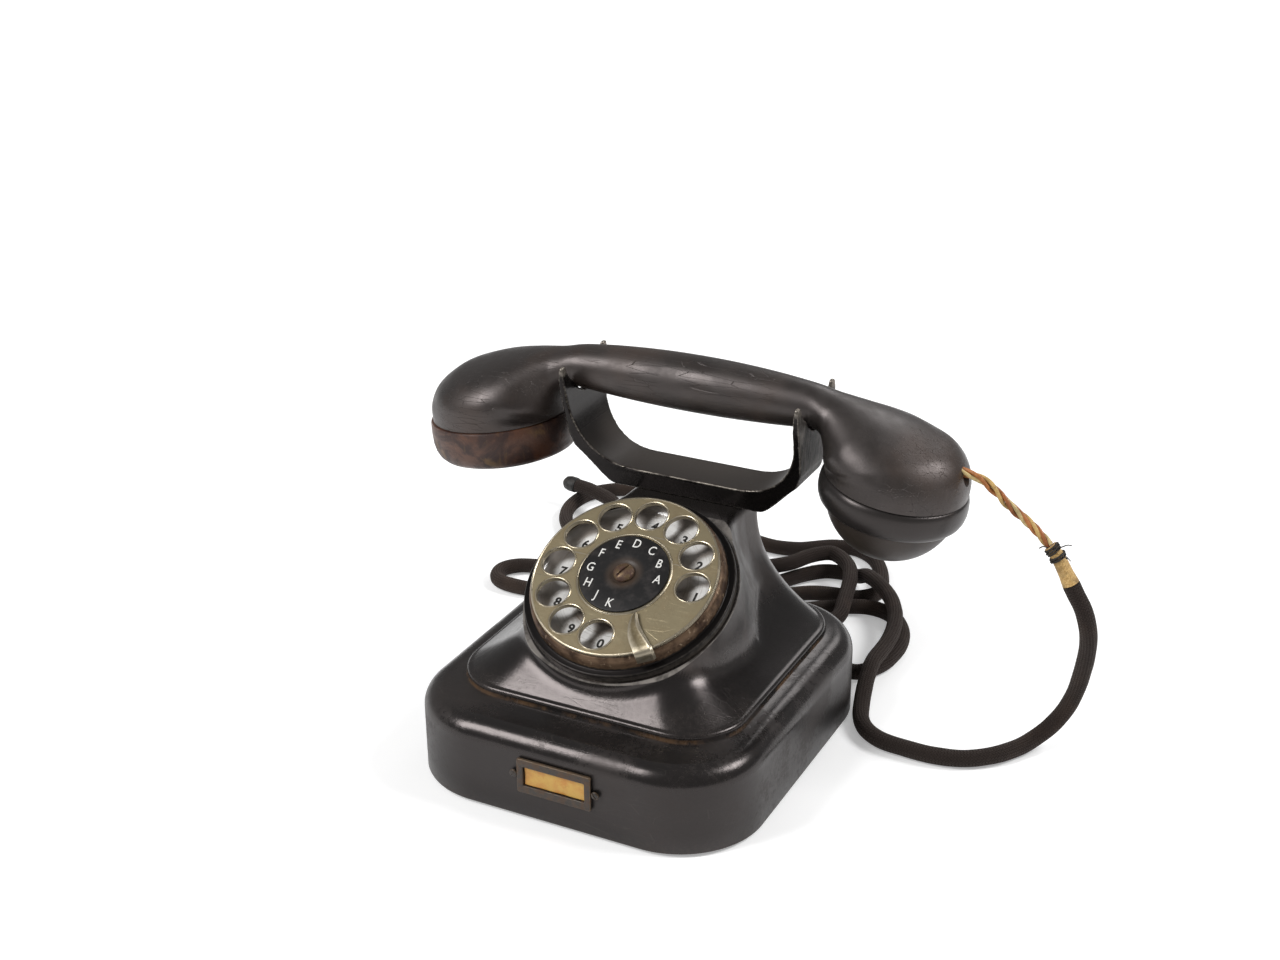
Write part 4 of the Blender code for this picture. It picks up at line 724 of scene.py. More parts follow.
def spun(name, profile, steps, closed=False, at=UPRIGHT):
    """A turned mesh from (radius, height) points in millimetres that run down the outer side."""
    shape = bmesh.new()
    made = [shape.verts.new((r * MM, 0.0, z * MM)) for r, z in profile]
    edges = [shape.edges.new(pair) for pair in zip(made, made[1:])]
    if closed:
        edges.append(shape.edges.new((made[-1], made[0])))
    bmesh.ops.spin(shape, geom=made + edges, cent=(0.0, 0.0, 0.0), axis=(0.0, 0.0, 1.0), steps=steps,
                   angle=2 * math.pi, use_merge=True)
    bmesh.ops.remove_doubles(shape, verts=shape.verts, dist=0.001 * MM)
    bmesh.ops.recalc_face_normals(shape, faces=shape.faces)
    return meshed(name, shape, at)


def turned(name, profile, at, steps, *look, closed=False, sharp=38.0):
    return piece(name, spun(name, profile, steps, closed, at), *look, sharp=sharp)


def carve(target, cutter, operation="DIFFERENCE"):
    """Cuts or joins target with a mesh that isn't kept."""
    boolean = target.modifiers.new("carve", "BOOLEAN")
    boolean.operation, boolean.solver, boolean.object = operation, "EXACT", cutter
    old, target.data = target.data, shaped(target)
    target.modifiers.clear()
    bpy.data.meshes.remove(old)
    bpy.data.objects.remove(cutter, do_unlink=True)
    target.data.set_sharp_from_angle(angle=math.radians(35))


def block(name, low, high, at):
    """A plain block to cut with, between two corners."""
    shape, low, high = bmesh.new(), Vector(low), Vector(high)
    bmesh.ops.create_cube(shape, size=1.0, matrix=Matrix.Translation((low + high) / 2)
                          @ Matrix.Diagonal((*(high - low), 1.0)))
    return piece(name, meshed(name, shape, at))


def worn_nodes(nodes, given):
    """Rubbed places: convex edges and a slow cloud pattern, both broken up by fine grain."""
    grain, cloud = nodes.noise(given["Grain"], 4.0, 0.65), nodes.noise(given["Cloud"], 3.0, 0.55)
    edge = nodes.out("NewGeometry", "Pointiness") + (grain - 0.5) * 0.05
    return {"Edge": edge.between(given["Edge"] - 0.02, given["Edge"] + 0.03),
            "Rubbed": (cloud + grain * 0.35).between(0.62, 0.86), "Grain": grain, "Cloud": cloud}


def scratch_nodes(nodes, given):
    """Fine scratches: thin cells stretched along one way, seen only in patches."""
    stretch = nodes.out("Mapping", "Vector", Vector=nodes.place(), Rotation=(0.5, 0.9, 0.7),
                        Scale=(1.0, 9.0, 9.0))
    cells = nodes.out("TexVoronoi", "Distance", feature="DISTANCE_TO_EDGE", Vector=stretch,
                      Scale=given["Scale"])
    return {"Scratches": cells.between(0.0, given["Width"], 1.0, 0.0)
            * nodes.noise(30.0, 3.0, 0.6).between(0.48, 0.62)}


wear = effect("wear", {"Grain": 420.0, "Cloud": 22.0, "Edge": 0.56}, worn_nodes)
scratches = effect("scratches", {"Scale": 34.0, "Width": 0.02}, scratch_nodes)


def on_dial(nodes, frame_of_dial):
    """Across, up and out of the dial's face, in metres."""
    return nodes.parts(nodes.out("Mapping", "Vector", vector_type="TEXTURE", Vector=nodes.place(),
                                 Location=tuple(frame_of_dial.translation), Rotation=(DIAL_TILT, 0.0, 0.0)))


def enamel_nodes(nodes):
    marks, lines = nodes.wear(520.0, 26.0, 0.54), nodes.scratches(30.0, 0.018)
    grain = marks["Grain"]
    height = nodes.parts(nodes.place())[2]
    to_right, to_rear, _ = nodes.parts(nodes.normal())
    # the line at the step's foot, where the enamel is worn to its brown primer
    foot = height.between(STEP_FOOT - 0.3 * MM, STEP_FOOT + 0.2 * MM)
    foot *= height.between(STEP_FOOT + 1.0 * MM, STEP_FOOT + 1.9 * MM, 1.0, 0.0)
    foot *= nodes.noise(70.0, 4.0, 0.7).between(0.36, 0.62)
    # walls are duller than the drawn upper side, and the neck's right flank is streaked lighter: rubbed paint
    # with a painted sheen on that side only
    wall = height.between(27.0 * MM, 33.0 * MM, 1.0, 0.0)
    neck = height.between(62.0 * MM, 84.0 * MM)
    flank_wear_and_sheen = nodes.noise(110.0, 4.0, 0.6, nodes.drawn_out()).between(0.42, 0.62, 0.25, 0.9)
    flank_wear_and_sheen = flank_wear_and_sheen * to_right.between(0.55, 0.85) * height.between(46.0 * MM, 62.0 * MM)
    # a painted highlight: the neck's upper front edge is painted pale in a broken band
    ridge = height.between(91.6 * MM, 92.6 * MM) * height.between(94.4 * MM, 95.2 * MM, 1.0, 0.0)
    highlight_breakup = nodes.noise(120.0, 4.0, 0.6).between(0.35, 0.6, 0.4, 1.0)
    ridge *= to_rear.between(-0.75, -0.3, 1.0, 0.0) * highlight_breakup
    # a thin pale line is painted along the outer edge of the rim round the dial
    across, up, out = on_dial(nodes, DIAL_FRAME)
    rim = out.between(-DIAL_LIP - 0.4 * MM, -DIAL_LIP - 0.15 * MM)
    rim *= nodes.far(across, up).between(DRUM_RADIUS - 0.6 * MM, DRUM_RADIUS - 0.2 * MM)
    rim *= nodes.noise(150.0, 4.0, 0.6).between(0.35, 0.6, 0.3, 0.9)
    # of these layers the flank's streaks are partly a painted sheen, and the ridge is a painted highlight
    colour = layered(marks["Rubbed"].blend((0.0085, 0.0078, 0.0076), (0.017, 0.0145, 0.0135)),
                     (neck * 0.45, (0.03, 0.026, 0.024)), (flank_wear_and_sheen * 0.8, (0.062, 0.05, 0.045)),
                     (foot * 0.85, (0.11, 0.062, 0.03)), (marks["Edge"] * 0.35, (0.09, 0.07, 0.055)),
                     (lines * 0.15, (0.08, 0.07, 0.06)), (ridge, (0.13, 0.12, 0.11)),
                     (rim, (0.24, 0.22, 0.2)))
    rough = (marks["Rubbed"] * height.between(38.0 * MM, 43.0 * MM, 1.0, 0.35)).between(0.0, 1.0, 0.19, 0.34)
    rough = rough + wall * 0.14 + neck * 0.05 + flank_wear_and_sheen * 0.22 + grain * 0.08
    return colour, rough, (nodes.noise(55.0, 2.0) + grain * 0.25 - lines * 0.05, 0.00035, 0.6)


AGED_LACQUER = (1.0, 0.89, 0.87)    # old dark lacquer and phenolic reflect a little warm
enamel = finish("black_enamel", enamel_nodes, Specular_Tint=AGED_LACQUER)
LEVELS = [(i / 56) ** 1.15 for i in range(57)]
housing = loft("housing_shell", shell_rings(0.0, 288, LEVELS), 35.0, enamel, "black_lacquer")
hollow = loft("housing_hollow", shell_rings(SHEET, 96, LEVELS[::7]), 35.0)
REACH = 70.0 * MM
for target, lip in ((hollow, DIAL_LIP + SHEET), (housing, DIAL_LIP)):
    carve(target, block("lip", (-REACH, -REACH, -lip), (REACH, REACH, REACH), DIAL_FRAME))
carve(housing, hollow)
bore_radius = CASE_RADIUS / MM + 0.3
carve(housing, turned("dial_bore", [(0.0, 4.0), (bore_radius, 4.0), (bore_radius, -8.0), (0.0, -8.0)],
                      DIAL_FRAME @ Matrix.Translation((0.0, 0.0, -DIAL_LIP)), 96))
guide_low, guide_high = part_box("neck_guide")
carve(housing, block("neck_bore", (guide_low[0] - GAP, guide_low[1] - GAP, 80 * MM),
                     (guide_high[0] + GAP, guide_high[1] + GAP, 110 * MM), UPRIGHT))
BUSH_X = 16.0 * MM
BUSH_Z = 18.0 * MM
BACKWARD = Matrix.Rotation(math.radians(-90), 4, "X")
for sx in (1, -1):
    carve(housing, turned("bush_hole", [(0.0, 6.0), (5.7, 6.0), (5.7, -6.0), (0.0, -6.0)],
                          Matrix.Translation((PHONE_X + sx * BUSH_X, PLINTH_HALF_Y, BUSH_Z)) @ BACKWARD, 40))
settle(housing, "base", "housing")

# Base plate, feet and base screws: a zinc-plated steel plate closes the housing from below. It is held by
# two countersunk screws and stands on four rubber feet.


def plated_steel_nodes(nodes):
    marks = nodes.wear(260.0, 40.0, 0.54)
    stain = nodes.noise(70.0, 5.0, 0.7).between(0.5, 0.7)
    colour = layered(marks["Rubbed"].blend((0.34, 0.335, 0.32), (0.48, 0.47, 0.45)),
                     (stain * 0.7, (0.16, 0.11, 0.07)))
    return (colour, stain.between(0.0, 1.0, 0.34, 0.7), (marks["Grain"], 0.00006),
            stain.between(0.0, 1.0, 0.95, 0.35))


plated_steel = finish("plated_steel", plated_steel_nodes)
paint_nodes(plated_steel, "base_plate")


def slotted_screw(name, at, turn, steps, *look, radius, rise, slot):
    """A domed screw head in millimetres, with its underside at height 0 and a slot as (width, depth)."""
    rim = 0.22 * rise
    dome = [(radius * math.sin(t), rim + (rise - rim) * math.cos(t))
            for t in [math.radians(90 * i / 8) for i in range(9)]]
    head = turned(name, dome + [(radius, 0.0), (0.0, 0.0)], at, steps, *look)
    half = slot[0] / 2
    carve(head, block("screw_slot", Vector((-half, -2 * radius, rise - slot[1])) * MM,
                      Vector((half, 2 * radius, 2 * rise)) * MM,
                      at @ Matrix.Rotation(math.radians(turn), 4, "Z")))
    return head


def middle_of(node):
    """The middle of a solid's box and its top."""
    low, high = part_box(node)
    return (low[0] + high[0]) / 2, (low[1] + high[1]) / 2, high[2]


for number, turn in ((1, -25.0), (2, 25.0)):
    under = Matrix.Translation(middle_of(f"base_screw_{number}")) @ Matrix.Rotation(math.pi, 4, "X")
    screw = slotted_screw(f"base_screw_head_{number}", under, turn, 48, plated_steel, "steel", radius=3.1,
                          rise=1.0, slot=(0.7, 0.6))
    settle(screw, "base", f"base_screw_{number}")
FOOT = [(0.0, 1.2), (6.9, 1.2), (6.9, 0.5), (6.6, 0.1), (6.2, 0.0), (2.4, 0.0), (2.0, 0.5), (0.0, 0.5)]
for number in (1, 2, 3, 4):
    x, y, _ = middle_of(f"foot_{number}")
    foot = turned(f"rubber_foot_{number}", FOOT, Matrix.Translation((x, y, 0.0)), 48, black_rubber, "rubber")
    settle(foot, "base", f"foot_{number}")

# Label frame: a steel pressing with a raised rim round its window and two round ears, blacked and gone
# brown with rust. It is pressed against the front wall over the label card.
FACING = Matrix.Rotation(math.radians(90), 4, "X")
LABEL_AT = Matrix.Translation((PHONE_X + 1.9 * MM, -PLINTH_HALF_Y, 21.7 * MM)) @ FACING
EAR_CENTRE = 13.7
EAR_ROUND = 6.9
LABEL_SCREW_X = 18.6
LABEL_BACK = 0.3
EAR_FACE = 1.1
LABEL_FACE = 1.9


def moved(at, x, y, z):
    """A frame shifted by millimetres along its own ways."""
    return at @ Matrix.Translation((x * MM, y * MM, z * MM))


def round_corners(half_x, half_y, radius, count=6):
    """A rectangle with round corners, given by its half sizes."""
    points = []
    for sx, sy, start in ((1, 1, 0), (-1, 1, 90), (-1, -1, 180), (1, -1, 270)):
        for i in range(count + 1):
            turn = math.radians(start + 90 * i / count)
            points.append((sx * (half_x - radius) + radius * math.cos(turn),
                           sy * (half_y - radius) + radius * math.sin(turn)))
    return points


def flat(name, outline, low, high, round_edge, at, *look, holes=()):
    """A plate in millimetres between two heights, cut to an outline and pierced, with its edges eased."""
    curve = bpy.data.curves.new(name, "CURVE")
    curve.dimensions = "2D"
    curve.fill_mode = "BOTH"
    curve.extrude = (high - low) / 2 * MM
    for loop in (outline, *[hole[::-1] for hole in holes]):
        spline = curve.splines.new("POLY")
        spline.points.add(len(loop) - 1)
        spline.use_cyclic_u = True
        for point, (x, y) in zip(spline.points, loop):
            point.co = (x * MM, y * MM, 0.0, 1.0)
    holder = placed(name, curve)
    shape = bmesh.new()
    shape.from_mesh(shaped(holder))
    bpy.data.objects.remove(holder, do_unlink=True)
    bmesh.ops.remove_doubles(shape, verts=shape.verts, dist=0.005 * MM)
    bmesh.ops.recalc_face_normals(shape, faces=shape.faces)
    if round_edge:
        sharp = [edge for edge in shape.edges if edge.is_manifold
                 and edge.calc_face_angle() > math.radians(50)
                 and abs(edge.verts[0].co.z - edge.verts[1].co.z) < 0.001 * MM]
        bmesh.ops.bevel(shape, geom=sharp, offset=round_edge * MM, segments=3, profile=0.5, affect="EDGES")
    return piece(name, meshed(name, shape, at @ Matrix.Translation((0.0, 0.0, (low + high) / 2 * MM))), *look,
                 sharp=35.0)


def rusted_black_nodes(nodes):
    marks = nodes.wear(700.0, 120.0, 0.53)
    rust = nodes.noise(260.0, 5.0, 0.7).between(0.44, 0.66)
    colour = layered(rust.blend((0.018, 0.014, 0.012), (0.062, 0.034, 0.02)),
                     (marks["Edge"] * 0.6, (0.17, 0.11, 0.06)))
    return colour, rust.between(0.0, 1.0, 0.36, 0.66), (marks["Grain"], 0.0001), marks["Edge"] * 0.5


rusted_black = finish("rusted_black", rusted_black_nodes)
ear_right = [(EAR_CENTRE + EAR_ROUND * math.cos(t), EAR_ROUND * math.sin(t))
             for t in [math.radians(-75 + 150 * i / 20) for i in range(21)]]
label_frame = flat("label_frame_pressing", round_corners(16.8, 7.8, 0.9), LABEL_BACK, LABEL_FACE, 0.45,
                   LABEL_AT, rusted_black, "cast_black", holes=[round_corners(13.9, 4.3, 0.4)])
carve(label_frame, flat("label_ears", ear_right + [(-x, -y) for x, y in ear_right], LABEL_BACK, EAR_FACE,
                        0.25, LABEL_AT, holes=[round_corners(15.2, 6.2, 0.4)]), "UNION")
settle(label_frame, "base", "label_frame")

# Label card: a plain card without any print, yellowed and a little swollen. It lies behind the window,
# where the frame and its two screws clamp it to the front wall.


def card_nodes(nodes):
    blotch, fibre = nodes.noise(150.0, 4.0, 0.65), nodes.noise(2400.0, 2.0, 0.7)
    colour = layered(blotch.between(0.35, 0.62).blend((0.49, 0.21, 0.034), (0.56, 0.335, 0.074)),
                     (nodes.noise(420.0, 3.0, 0.6).between(0.6, 0.75, 0.0, 0.5), (0.33, 0.235, 0.05)),
                     (fibre.between(0.6, 0.8, 0.0, 0.3), (0.35, 0.16, 0.04)))
    return colour, blotch.between(0.3, 0.7, 0.35, 0.6), (fibre, 0.00003)


CARD_HALF = (13.5, 3.95)
CARD_THICK = 0.3
CARD_BACK = 0.52
card = bmesh.new()
bmesh.ops.create_grid(card, x_segments=40, y_segments=14, size=1.0)
for vertex in card.verts:
    x, y = vertex.co.x, vertex.co.y
    swell_out = 0.16 * math.sin(2.6 * x + 0.7) * math.cos(1.9 * y) + 0.05 * math.sin(9 * x + 4 * y)
    vertex.co = Vector((x * CARD_HALF[0], y * CARD_HALF[1], swell_out)) * MM
thick = bmesh.ops.extrude_face_region(card, geom=card.faces[:])
bmesh.ops.translate(card, verts=[v for v in thick["geom"] if isinstance(v, bmesh.types.BMVert)],
                    vec=(0.0, 0.0, CARD_THICK * MM))
bmesh.ops.recalc_face_normals(card, faces=card.faces)
card_mesh = meshed("label_card_plain", card, moved(LABEL_AT, 0.0, 0.0, CARD_BACK))
yellowed_card = finish("yellowed_card", card_nodes, Coat_Weight=0.15, Coat_Roughness=0.3)
label_card = piece("label_card_plain", card_mesh, yellowed_card, "label_card", 40.0)
settle(label_card, "base", "label_card")
for number, sx in ((1, -1), (2, 1)):
    screw = slotted_screw(f"label_screw_head_{number}", moved(LABEL_AT, sx * LABEL_SCREW_X, 0.0, EAR_FACE),
                          38.0 * sx, 32, rusted_black, "cast_black", radius=1.75, rise=0.9, slot=(0.45, 0.4))
    settle(screw, "base", f"label_screw_{number}")

# Dial case: a turned steel case let into the housing, with a brown rubbed band under the finger wheel's edge
# and a black flange that lies on the housing's ledge.
case_profile = [(39.3, -3.4), (39.6, -2.6), (40.1, -2.3), (40.6, -2.5), (41.3, -3.4), (41.75, -4.4),
                (41.95, -5.6), (42.05, -7.2), (42.25, -7.75), (42.5, -8.05), (42.75, -8.12), (44.5, -8.14),
                (44.8, -8.18), (45.05, -8.3), (45.2, -8.5), (45.3, -8.8), (45.3, -9.1), (45.3, -11.7),
                (42.0, -11.7), (42.0, -27.0), (0.0, -27.0), (0.0, -25.4), (40.4, -25.4), (40.4, -5.4),
                (39.4, -4.4)]


def case_nodes(nodes):
    marks = nodes.wear(380.0, 60.0, 0.535)
    band = (on_dial(nodes, DIAL_FRAME)[2] + marks["Grain"] * 0.0012).between(-7.2 * MM, -6.4 * MM)
    brown = layered(
        nodes.noise(95.0, 5.0, 0.68).between(0.36, 0.62).blend((0.035, 0.02, 0.013), (0.14, 0.09, 0.056)),
        (nodes.noise(480.0, 3.0, 0.7).between(0.58, 0.72, 0.0, 0.8), (0.34, 0.25, 0.17)))
    black = (marks["Edge"] * 0.4).blend((0.003, 0.0027, 0.0025), (0.16, 0.14, 0.12))
    return (band.blend(black, brown), band.between(0.0, 1.0, 0.3, 0.46), (marks["Grain"] * band, 0.00018),
            band * 0.45)


case_steel = finish("dial_case_finish", case_nodes, Specular_Tint=AGED_LACQUER, Specular_IOR_Level=0.16)
dial_case = turned("dial_case_turned", case_profile, DIAL_FRAME, 192, case_steel, "cast_black", closed=True)
settle(dial_case, "base", "dial_case")

# Number plate: a steel dish enamelled white, which lies in the dial case under the finger wheel. Grime lies
# on it in rings, and a shadow is painted on it beside each finger hole.
PLATE_DEPTH = 8.0
HOLE_CIRCLE = 30.7
HOLE_START = math.radians(1.7)
HOLE_STEP = math.radians(30.0)


def plate_enamel_nodes(nodes):
    """White enamel with grime in rings and soft brown clouds, heavier towards the middle, and painted shadow
    beside each finger hole's lit patch.
    """
    x, y, _ = on_dial(nodes, DIAL_FRAME)
    radius = nodes.far(x, y)
    turning = nodes.out("CombineXYZ", "Vector", X=radius * 900.0, Y=nodes.math("ARCTAN2", y, x) * 1.3)
    rings = nodes.noise(1.0, 4.0, 0.75, turning).between(0.5, 0.72)
    cloud = nodes.noise(95.0, 4.0, 0.62).between(0.4, 0.66)
    grime = (rings * 0.55 + cloud * 0.6) * radius.between(22.0 * MM, 31.0 * MM, 1.0, 0.15)
    # painted shadow beside each finger hole's lit patch, where the wheel shades the plate: the distance to
    # the
    #     nearest patch, folded by 30 degrees
    east = x - 3.4 * MM
    reach = nodes.far(east, y)
    turn = nodes.math("WRAP", nodes.math("ARCTAN2", y, east) - HOLE_START, HOLE_STEP / 2, -HOLE_STEP / 2)
    away = nodes.far(reach * nodes.math("COSINE", turn) - HOLE_CIRCLE * MM, reach * nodes.math("SINE", turn))
    painted_hole_shadow = (away + cloud * (1.6 * MM)).between(5.4 * MM, 9.0 * MM, 0.0, 0.72)
    colour = layered(nodes.math("MINIMUM", grime, 0.95).blend((0.84, 0.83, 0.81), (0.1, 0.062, 0.035)),
                     (rings * 0.4, (0.22, 0.17, 0.12)), (painted_hole_shadow, (0.15, 0.105, 0.07)))
    return colour, grime.between(0.0, 0.8, 0.16, 0.5), (rings, 0.00005)


plate_profile = [(2.8, -8.0), (36.4, -8.0), (38.2, -7.5), (39.4, -6.5), (39.9, -5.7), (40.1, -6.0),
                 (40.1, -9.0), (2.8, -9.0)]
plate_enamel = finish("plate_enamel", plate_enamel_nodes, Coat_Weight=0.4, Coat_Roughness=0.08)
number_plate = turned("number_plate_enamelled", plate_profile, DIAL_FRAME, 160, plate_enamel, "white_enamel",
                      closed=True)
settle(number_plate, "base", "number_plate")

# Numbers: printed on the plate in black under each finger hole, upright as the dial is seen, from 1 at the
# right round to 0.
HOLE_RADIUS = 7.0
HOLE_ANGLES = [HOLE_START + HOLE_STEP * i for i in range(10)]
PRINT_THICK = 0.06
CAPITAL_SHARE = 0.729               # a capital's height in Blender's own letters


def lettering(name, marks, at, *look, circle, height, tall, stroke, squeeze=1.0, shift=0.0):
    """One mark at each hole's angle on a circle, printed in the plane of a frame at a height over it."""
    joined = bmesh.new()
    for text, angle in zip(marks, HOLE_ANGLES):
        words = bpy.data.curves.new(name, "FONT")
        words.body = text
        words.size = tall * MM / CAPITAL_SHARE
        words.align_x = words.align_y = "CENTER"
        words.offset = stroke * MM
        words.extrude = PRINT_THICK * MM / 2
        words.resolution_u = 4
        holder = placed(name, words)
        mesh = shaped(holder)
        bpy.data.objects.remove(holder, do_unlink=True)
        xs, ys = zip(*[v.co.xy for v in mesh.vertices])
        spot = Vector((circle * math.cos(angle) - shift, circle * math.sin(angle) + shift, height)) * MM
        mesh.transform(Matrix.Translation(spot) @ Matrix.Diagonal((squeeze, 1.0, 1.0, 1.0))
                       @ Matrix.Translation((-(min(xs) + max(xs)) / 2, -(min(ys) + max(ys)) / 2, 0.0)))
        joined.from_mesh(mesh)
        bpy.data.meshes.remove(mesh)
    bmesh.ops.remove_doubles(joined, verts=joined.verts, dist=0.002 * MM)
    bmesh.ops.recalc_face_normals(joined, faces=joined.faces)
    return piece(name, meshed(name, joined, at), *look)


def ink(name, dark, light):
    return finish(name, two_tone(spots=(900.0, 4.0, 0.7, 0.52, 0.74), tones=(dark, light), rough=(0.35, 0.6)))


black_ink = ink("black_ink", (0.012, 0.011, 0.01), (0.09, 0.075, 0.06))
dial_numbers = lettering("dial_numbers", "1234567890", DIAL_FRAME, black_ink, "white_enamel", circle=30.5,
                         height=PRINT_THICK / 2 - PLATE_DEPTH, tall=4.2, stroke=0.2, shift=0.3)
settle(dial_numbers, "base")

# Finger wheel: a brass disc, nickelled once and now worn to a dull khaki, with a rolled bead round its
# edge, round each finger hole and round the middle.
WHEEL_FRAME = moved(DIAL_FRAME, 0.0, 0.0, -0.6)


def ring_points(radius, count, x=0.0, y=0.0):
    return [(x + radius * math.cos(2 * math.pi * i / count), y + radius * math.sin(2 * math.pi * i / count))
            for i in range(count)]


def khaki(name, light, dark, low, high):
    """Worn nickelled brass between two shades and two roughnesses."""
    def build(nodes):
        marks, lines = nodes.wear(900.0, 70.0, 0.515), nodes.scratches(55.0, 0.016)
        tarnish = nodes.noise(75.0, 5.0, 0.62).between(0.36, 0.68)
        specks = nodes.noise(1100.0, 3.0, 0.7).between(0.62, 0.76)
        # the side that lies in the case is painted near black: dirt there, and painted shade under the wheel
        outward = nodes.vector_math("DOT_PRODUCT", nodes.normal(), tuple(WHEEL_FRAME.col[2].xyz))
        clean_unshaded_side = outward.between(-0.35, -0.1)
        colour = layered(tarnish.blend(light, dark), (specks * 0.45, (0.12, 0.08, 0.045)),
                         (marks["Edge"] * 0.5, (0.5, 0.45, 0.36)), (lines * 0.35, (0.55, 0.46, 0.3)))
        return (clean_unshaded_side.blend((0.02, 0.014, 0.01), colour),
                tarnish.between(0.0, 1.0, low, high) - marks["Edge"] * 0.14,
                (marks["Grain"] - lines, 0.00004), specks.between(0.0, 1.0, 0.86, 0.5) * clean_unshaded_side)
    return finish(name, build)


wheel_brass = khaki("wheel_brass", (0.34, 0.285, 0.18), (0.25, 0.2, 0.12), 0.4, 0.52)
hole_spots = [(HOLE_CIRCLE * math.cos(angle), HOLE_CIRCLE * math.sin(angle)) for angle in HOLE_ANGLES]
finger_holes = [ring_points(HOLE_RADIUS + 0.45, 56, x, y) for x, y in hole_spots]
wheel = flat("finger_wheel_disc", ring_points(39.7, 160), -1.3, 0.0, 0.0, WHEEL_FRAME, wheel_brass,
             "aged_brass", holes=[ring_points(3.4, 32)] + finger_holes)
HOLE_BEAD = [(7.0, -1.6), (7.0, 0.1), (7.14, 0.36), (7.4, 0.47), (7.66, 0.36), (7.9, 0.02), (7.96, -0.3),
             (7.9, -1.45), (7.7, -1.6)]
EDGE_BEAD = [(39.3, -1.6), (39.2, -0.6), (39.3, 0.05), (39.6, 0.3), (39.95, 0.22), (40.2, -0.1), (40.2, -1.3),
             (39.95, -1.6)]
MIDDLE_BEAD = [(19.6, -1.0), (19.6, 0.35), (19.85, 0.62), (20.15, 0.68), (20.5, 0.5), (20.8, 0.05),
               (20.85, -0.4), (20.6, -1.0)]
beads = bmesh.new()
for profile, steps, (x, y) in [(HOLE_BEAD, 64, spot) for spot in hole_spots] + [
        (EDGE_BEAD, 192, (0.0, 0.0)), (MIDDLE_BEAD, 192, (0.0, 0.0))]:
    beads.from_mesh(spun("bead", profile, steps, True, moved(WHEEL_FRAME, x, y, 0.0)))
carve(wheel, piece("beads", meshed("beads", beads)), "UNION")
settle(wheel, "dial", "finger_wheel")

# Centre disc: a black lacquered disc held in the wheel's middle bead by one domed screw, now rusty. Each
# letter on it stands inward of a finger hole.


def disc_nodes(nodes):
    dust = nodes.noise(160.0, 5.0, 0.7).between(0.42, 0.75)
    x, y, z = on_dial(nodes, WHEEL_FRAME)
    near = nodes.math("SQRT", x * x + y * y + z * z).between(5.0 * MM, 9.5 * MM, 1.0, 0.0)
    colour = layered(dust.blend((0.0075, 0.007, 0.0072), (0.026, 0.022, 0.021)),
                     (near * 0.8, (0.06, 0.04, 0.028)))
    return colour, dust.between(0.0, 1.0, 0.42, 0.62), (nodes.noise(800.0, 4.0, 0.65), 0.00004)


DISC_FACE = 0.95
disc_profile = [(0.0, 0.45), (5.2, 0.45), (5.7, 0.62), (6.2, 0.86), (7.0, 0.95), (18.6, 0.95), (19.0, 0.86),
                (19.2, 0.6), (19.2, 0.3), (0.0, 0.3)]
disc = turned("centre_disc_lacquered", disc_profile, WHEEL_FRAME, 128,
              finish("disc_lacquer", disc_nodes, Specular_IOR_Level=0.3), "cast_black")
settle(disc, "dial", "centre_disc")
white_ink = ink("white_ink", (0.72, 0.71, 0.68), (0.3, 0.29, 0.27))
disc_letters = lettering("disc_letters", "ABCDEFGHJK", WHEEL_FRAME, white_ink, "white_enamel", circle=15.3,
                         height=DISC_FACE + PRINT_THICK / 2, tall=4.4, stroke=0.03, squeeze=0.82)
settle(disc_letters, "dial")
rusty_brass = finish("rusty_brass", two_tone(
    spots=(420.0, 5.0, 0.65, 0.36, 0.6), tones=((0.15, 0.1, 0.055), (0.06, 0.027, 0.017)),
    rough=(0.42, 0.7), relief=(1500.0, 0.0001), metal=(0.7, 0.2)))
centre_screw = slotted_screw("centre_screw_head", moved(WHEEL_FRAME, 0.0, 0.0, 0.75), -28.0, 64, rusty_brass,
                             "aged_brass", radius=4.5, rise=2.3, slot=(1.1, 0.9))
settle(centre_screw, "dial", "centre_screw")

# Finger stop: a crescent of the same brass, ridged along its right side. It is folded down over the wheel's
# edge and fixed inside the case.
STOP_STATIONS = (
    # radius, left and right angle, height over the wheel's face, the ridge's place
    (21.6, -54.0, -51.0, 1.2, 0.7), (22.3, -55.8, -50.9, 1.2, 0.7), (23.4, -58.0, -51.2, 1.2, 0.7),
    (25.0, -60.0, -51.8, 1.2, 0.71), (27.0, -61.6, -52.1, 1.2, 0.74), (29.5, -62.6, -52.0, 1.2, 0.77),
    (32.5, -62.9, -51.4, 1.2, 0.81), (35.5, -62.2, -50.5, 1.2, 0.84), (38.2, -61.2, -49.8, 1.2, 0.86),
    (40.3, -60.5, -49.3, 1.15, 0.87), (41.3, -60.2, -49.2, 0.85, 0.87), (41.9, -60.1, -49.2, 0.3, 0.87),
    (42.1, -60.0, -49.2, -0.6, 0.87), (42.1, -60.0, -49.2, -2.0, 0.87), (42.15, -60.0, -49.2, -4.2, 0.87))


def dial_spot(radius, degrees, height):
    turn = math.radians(degrees)
    return Vector((radius * math.cos(turn), radius * math.sin(turn), height)) * MM


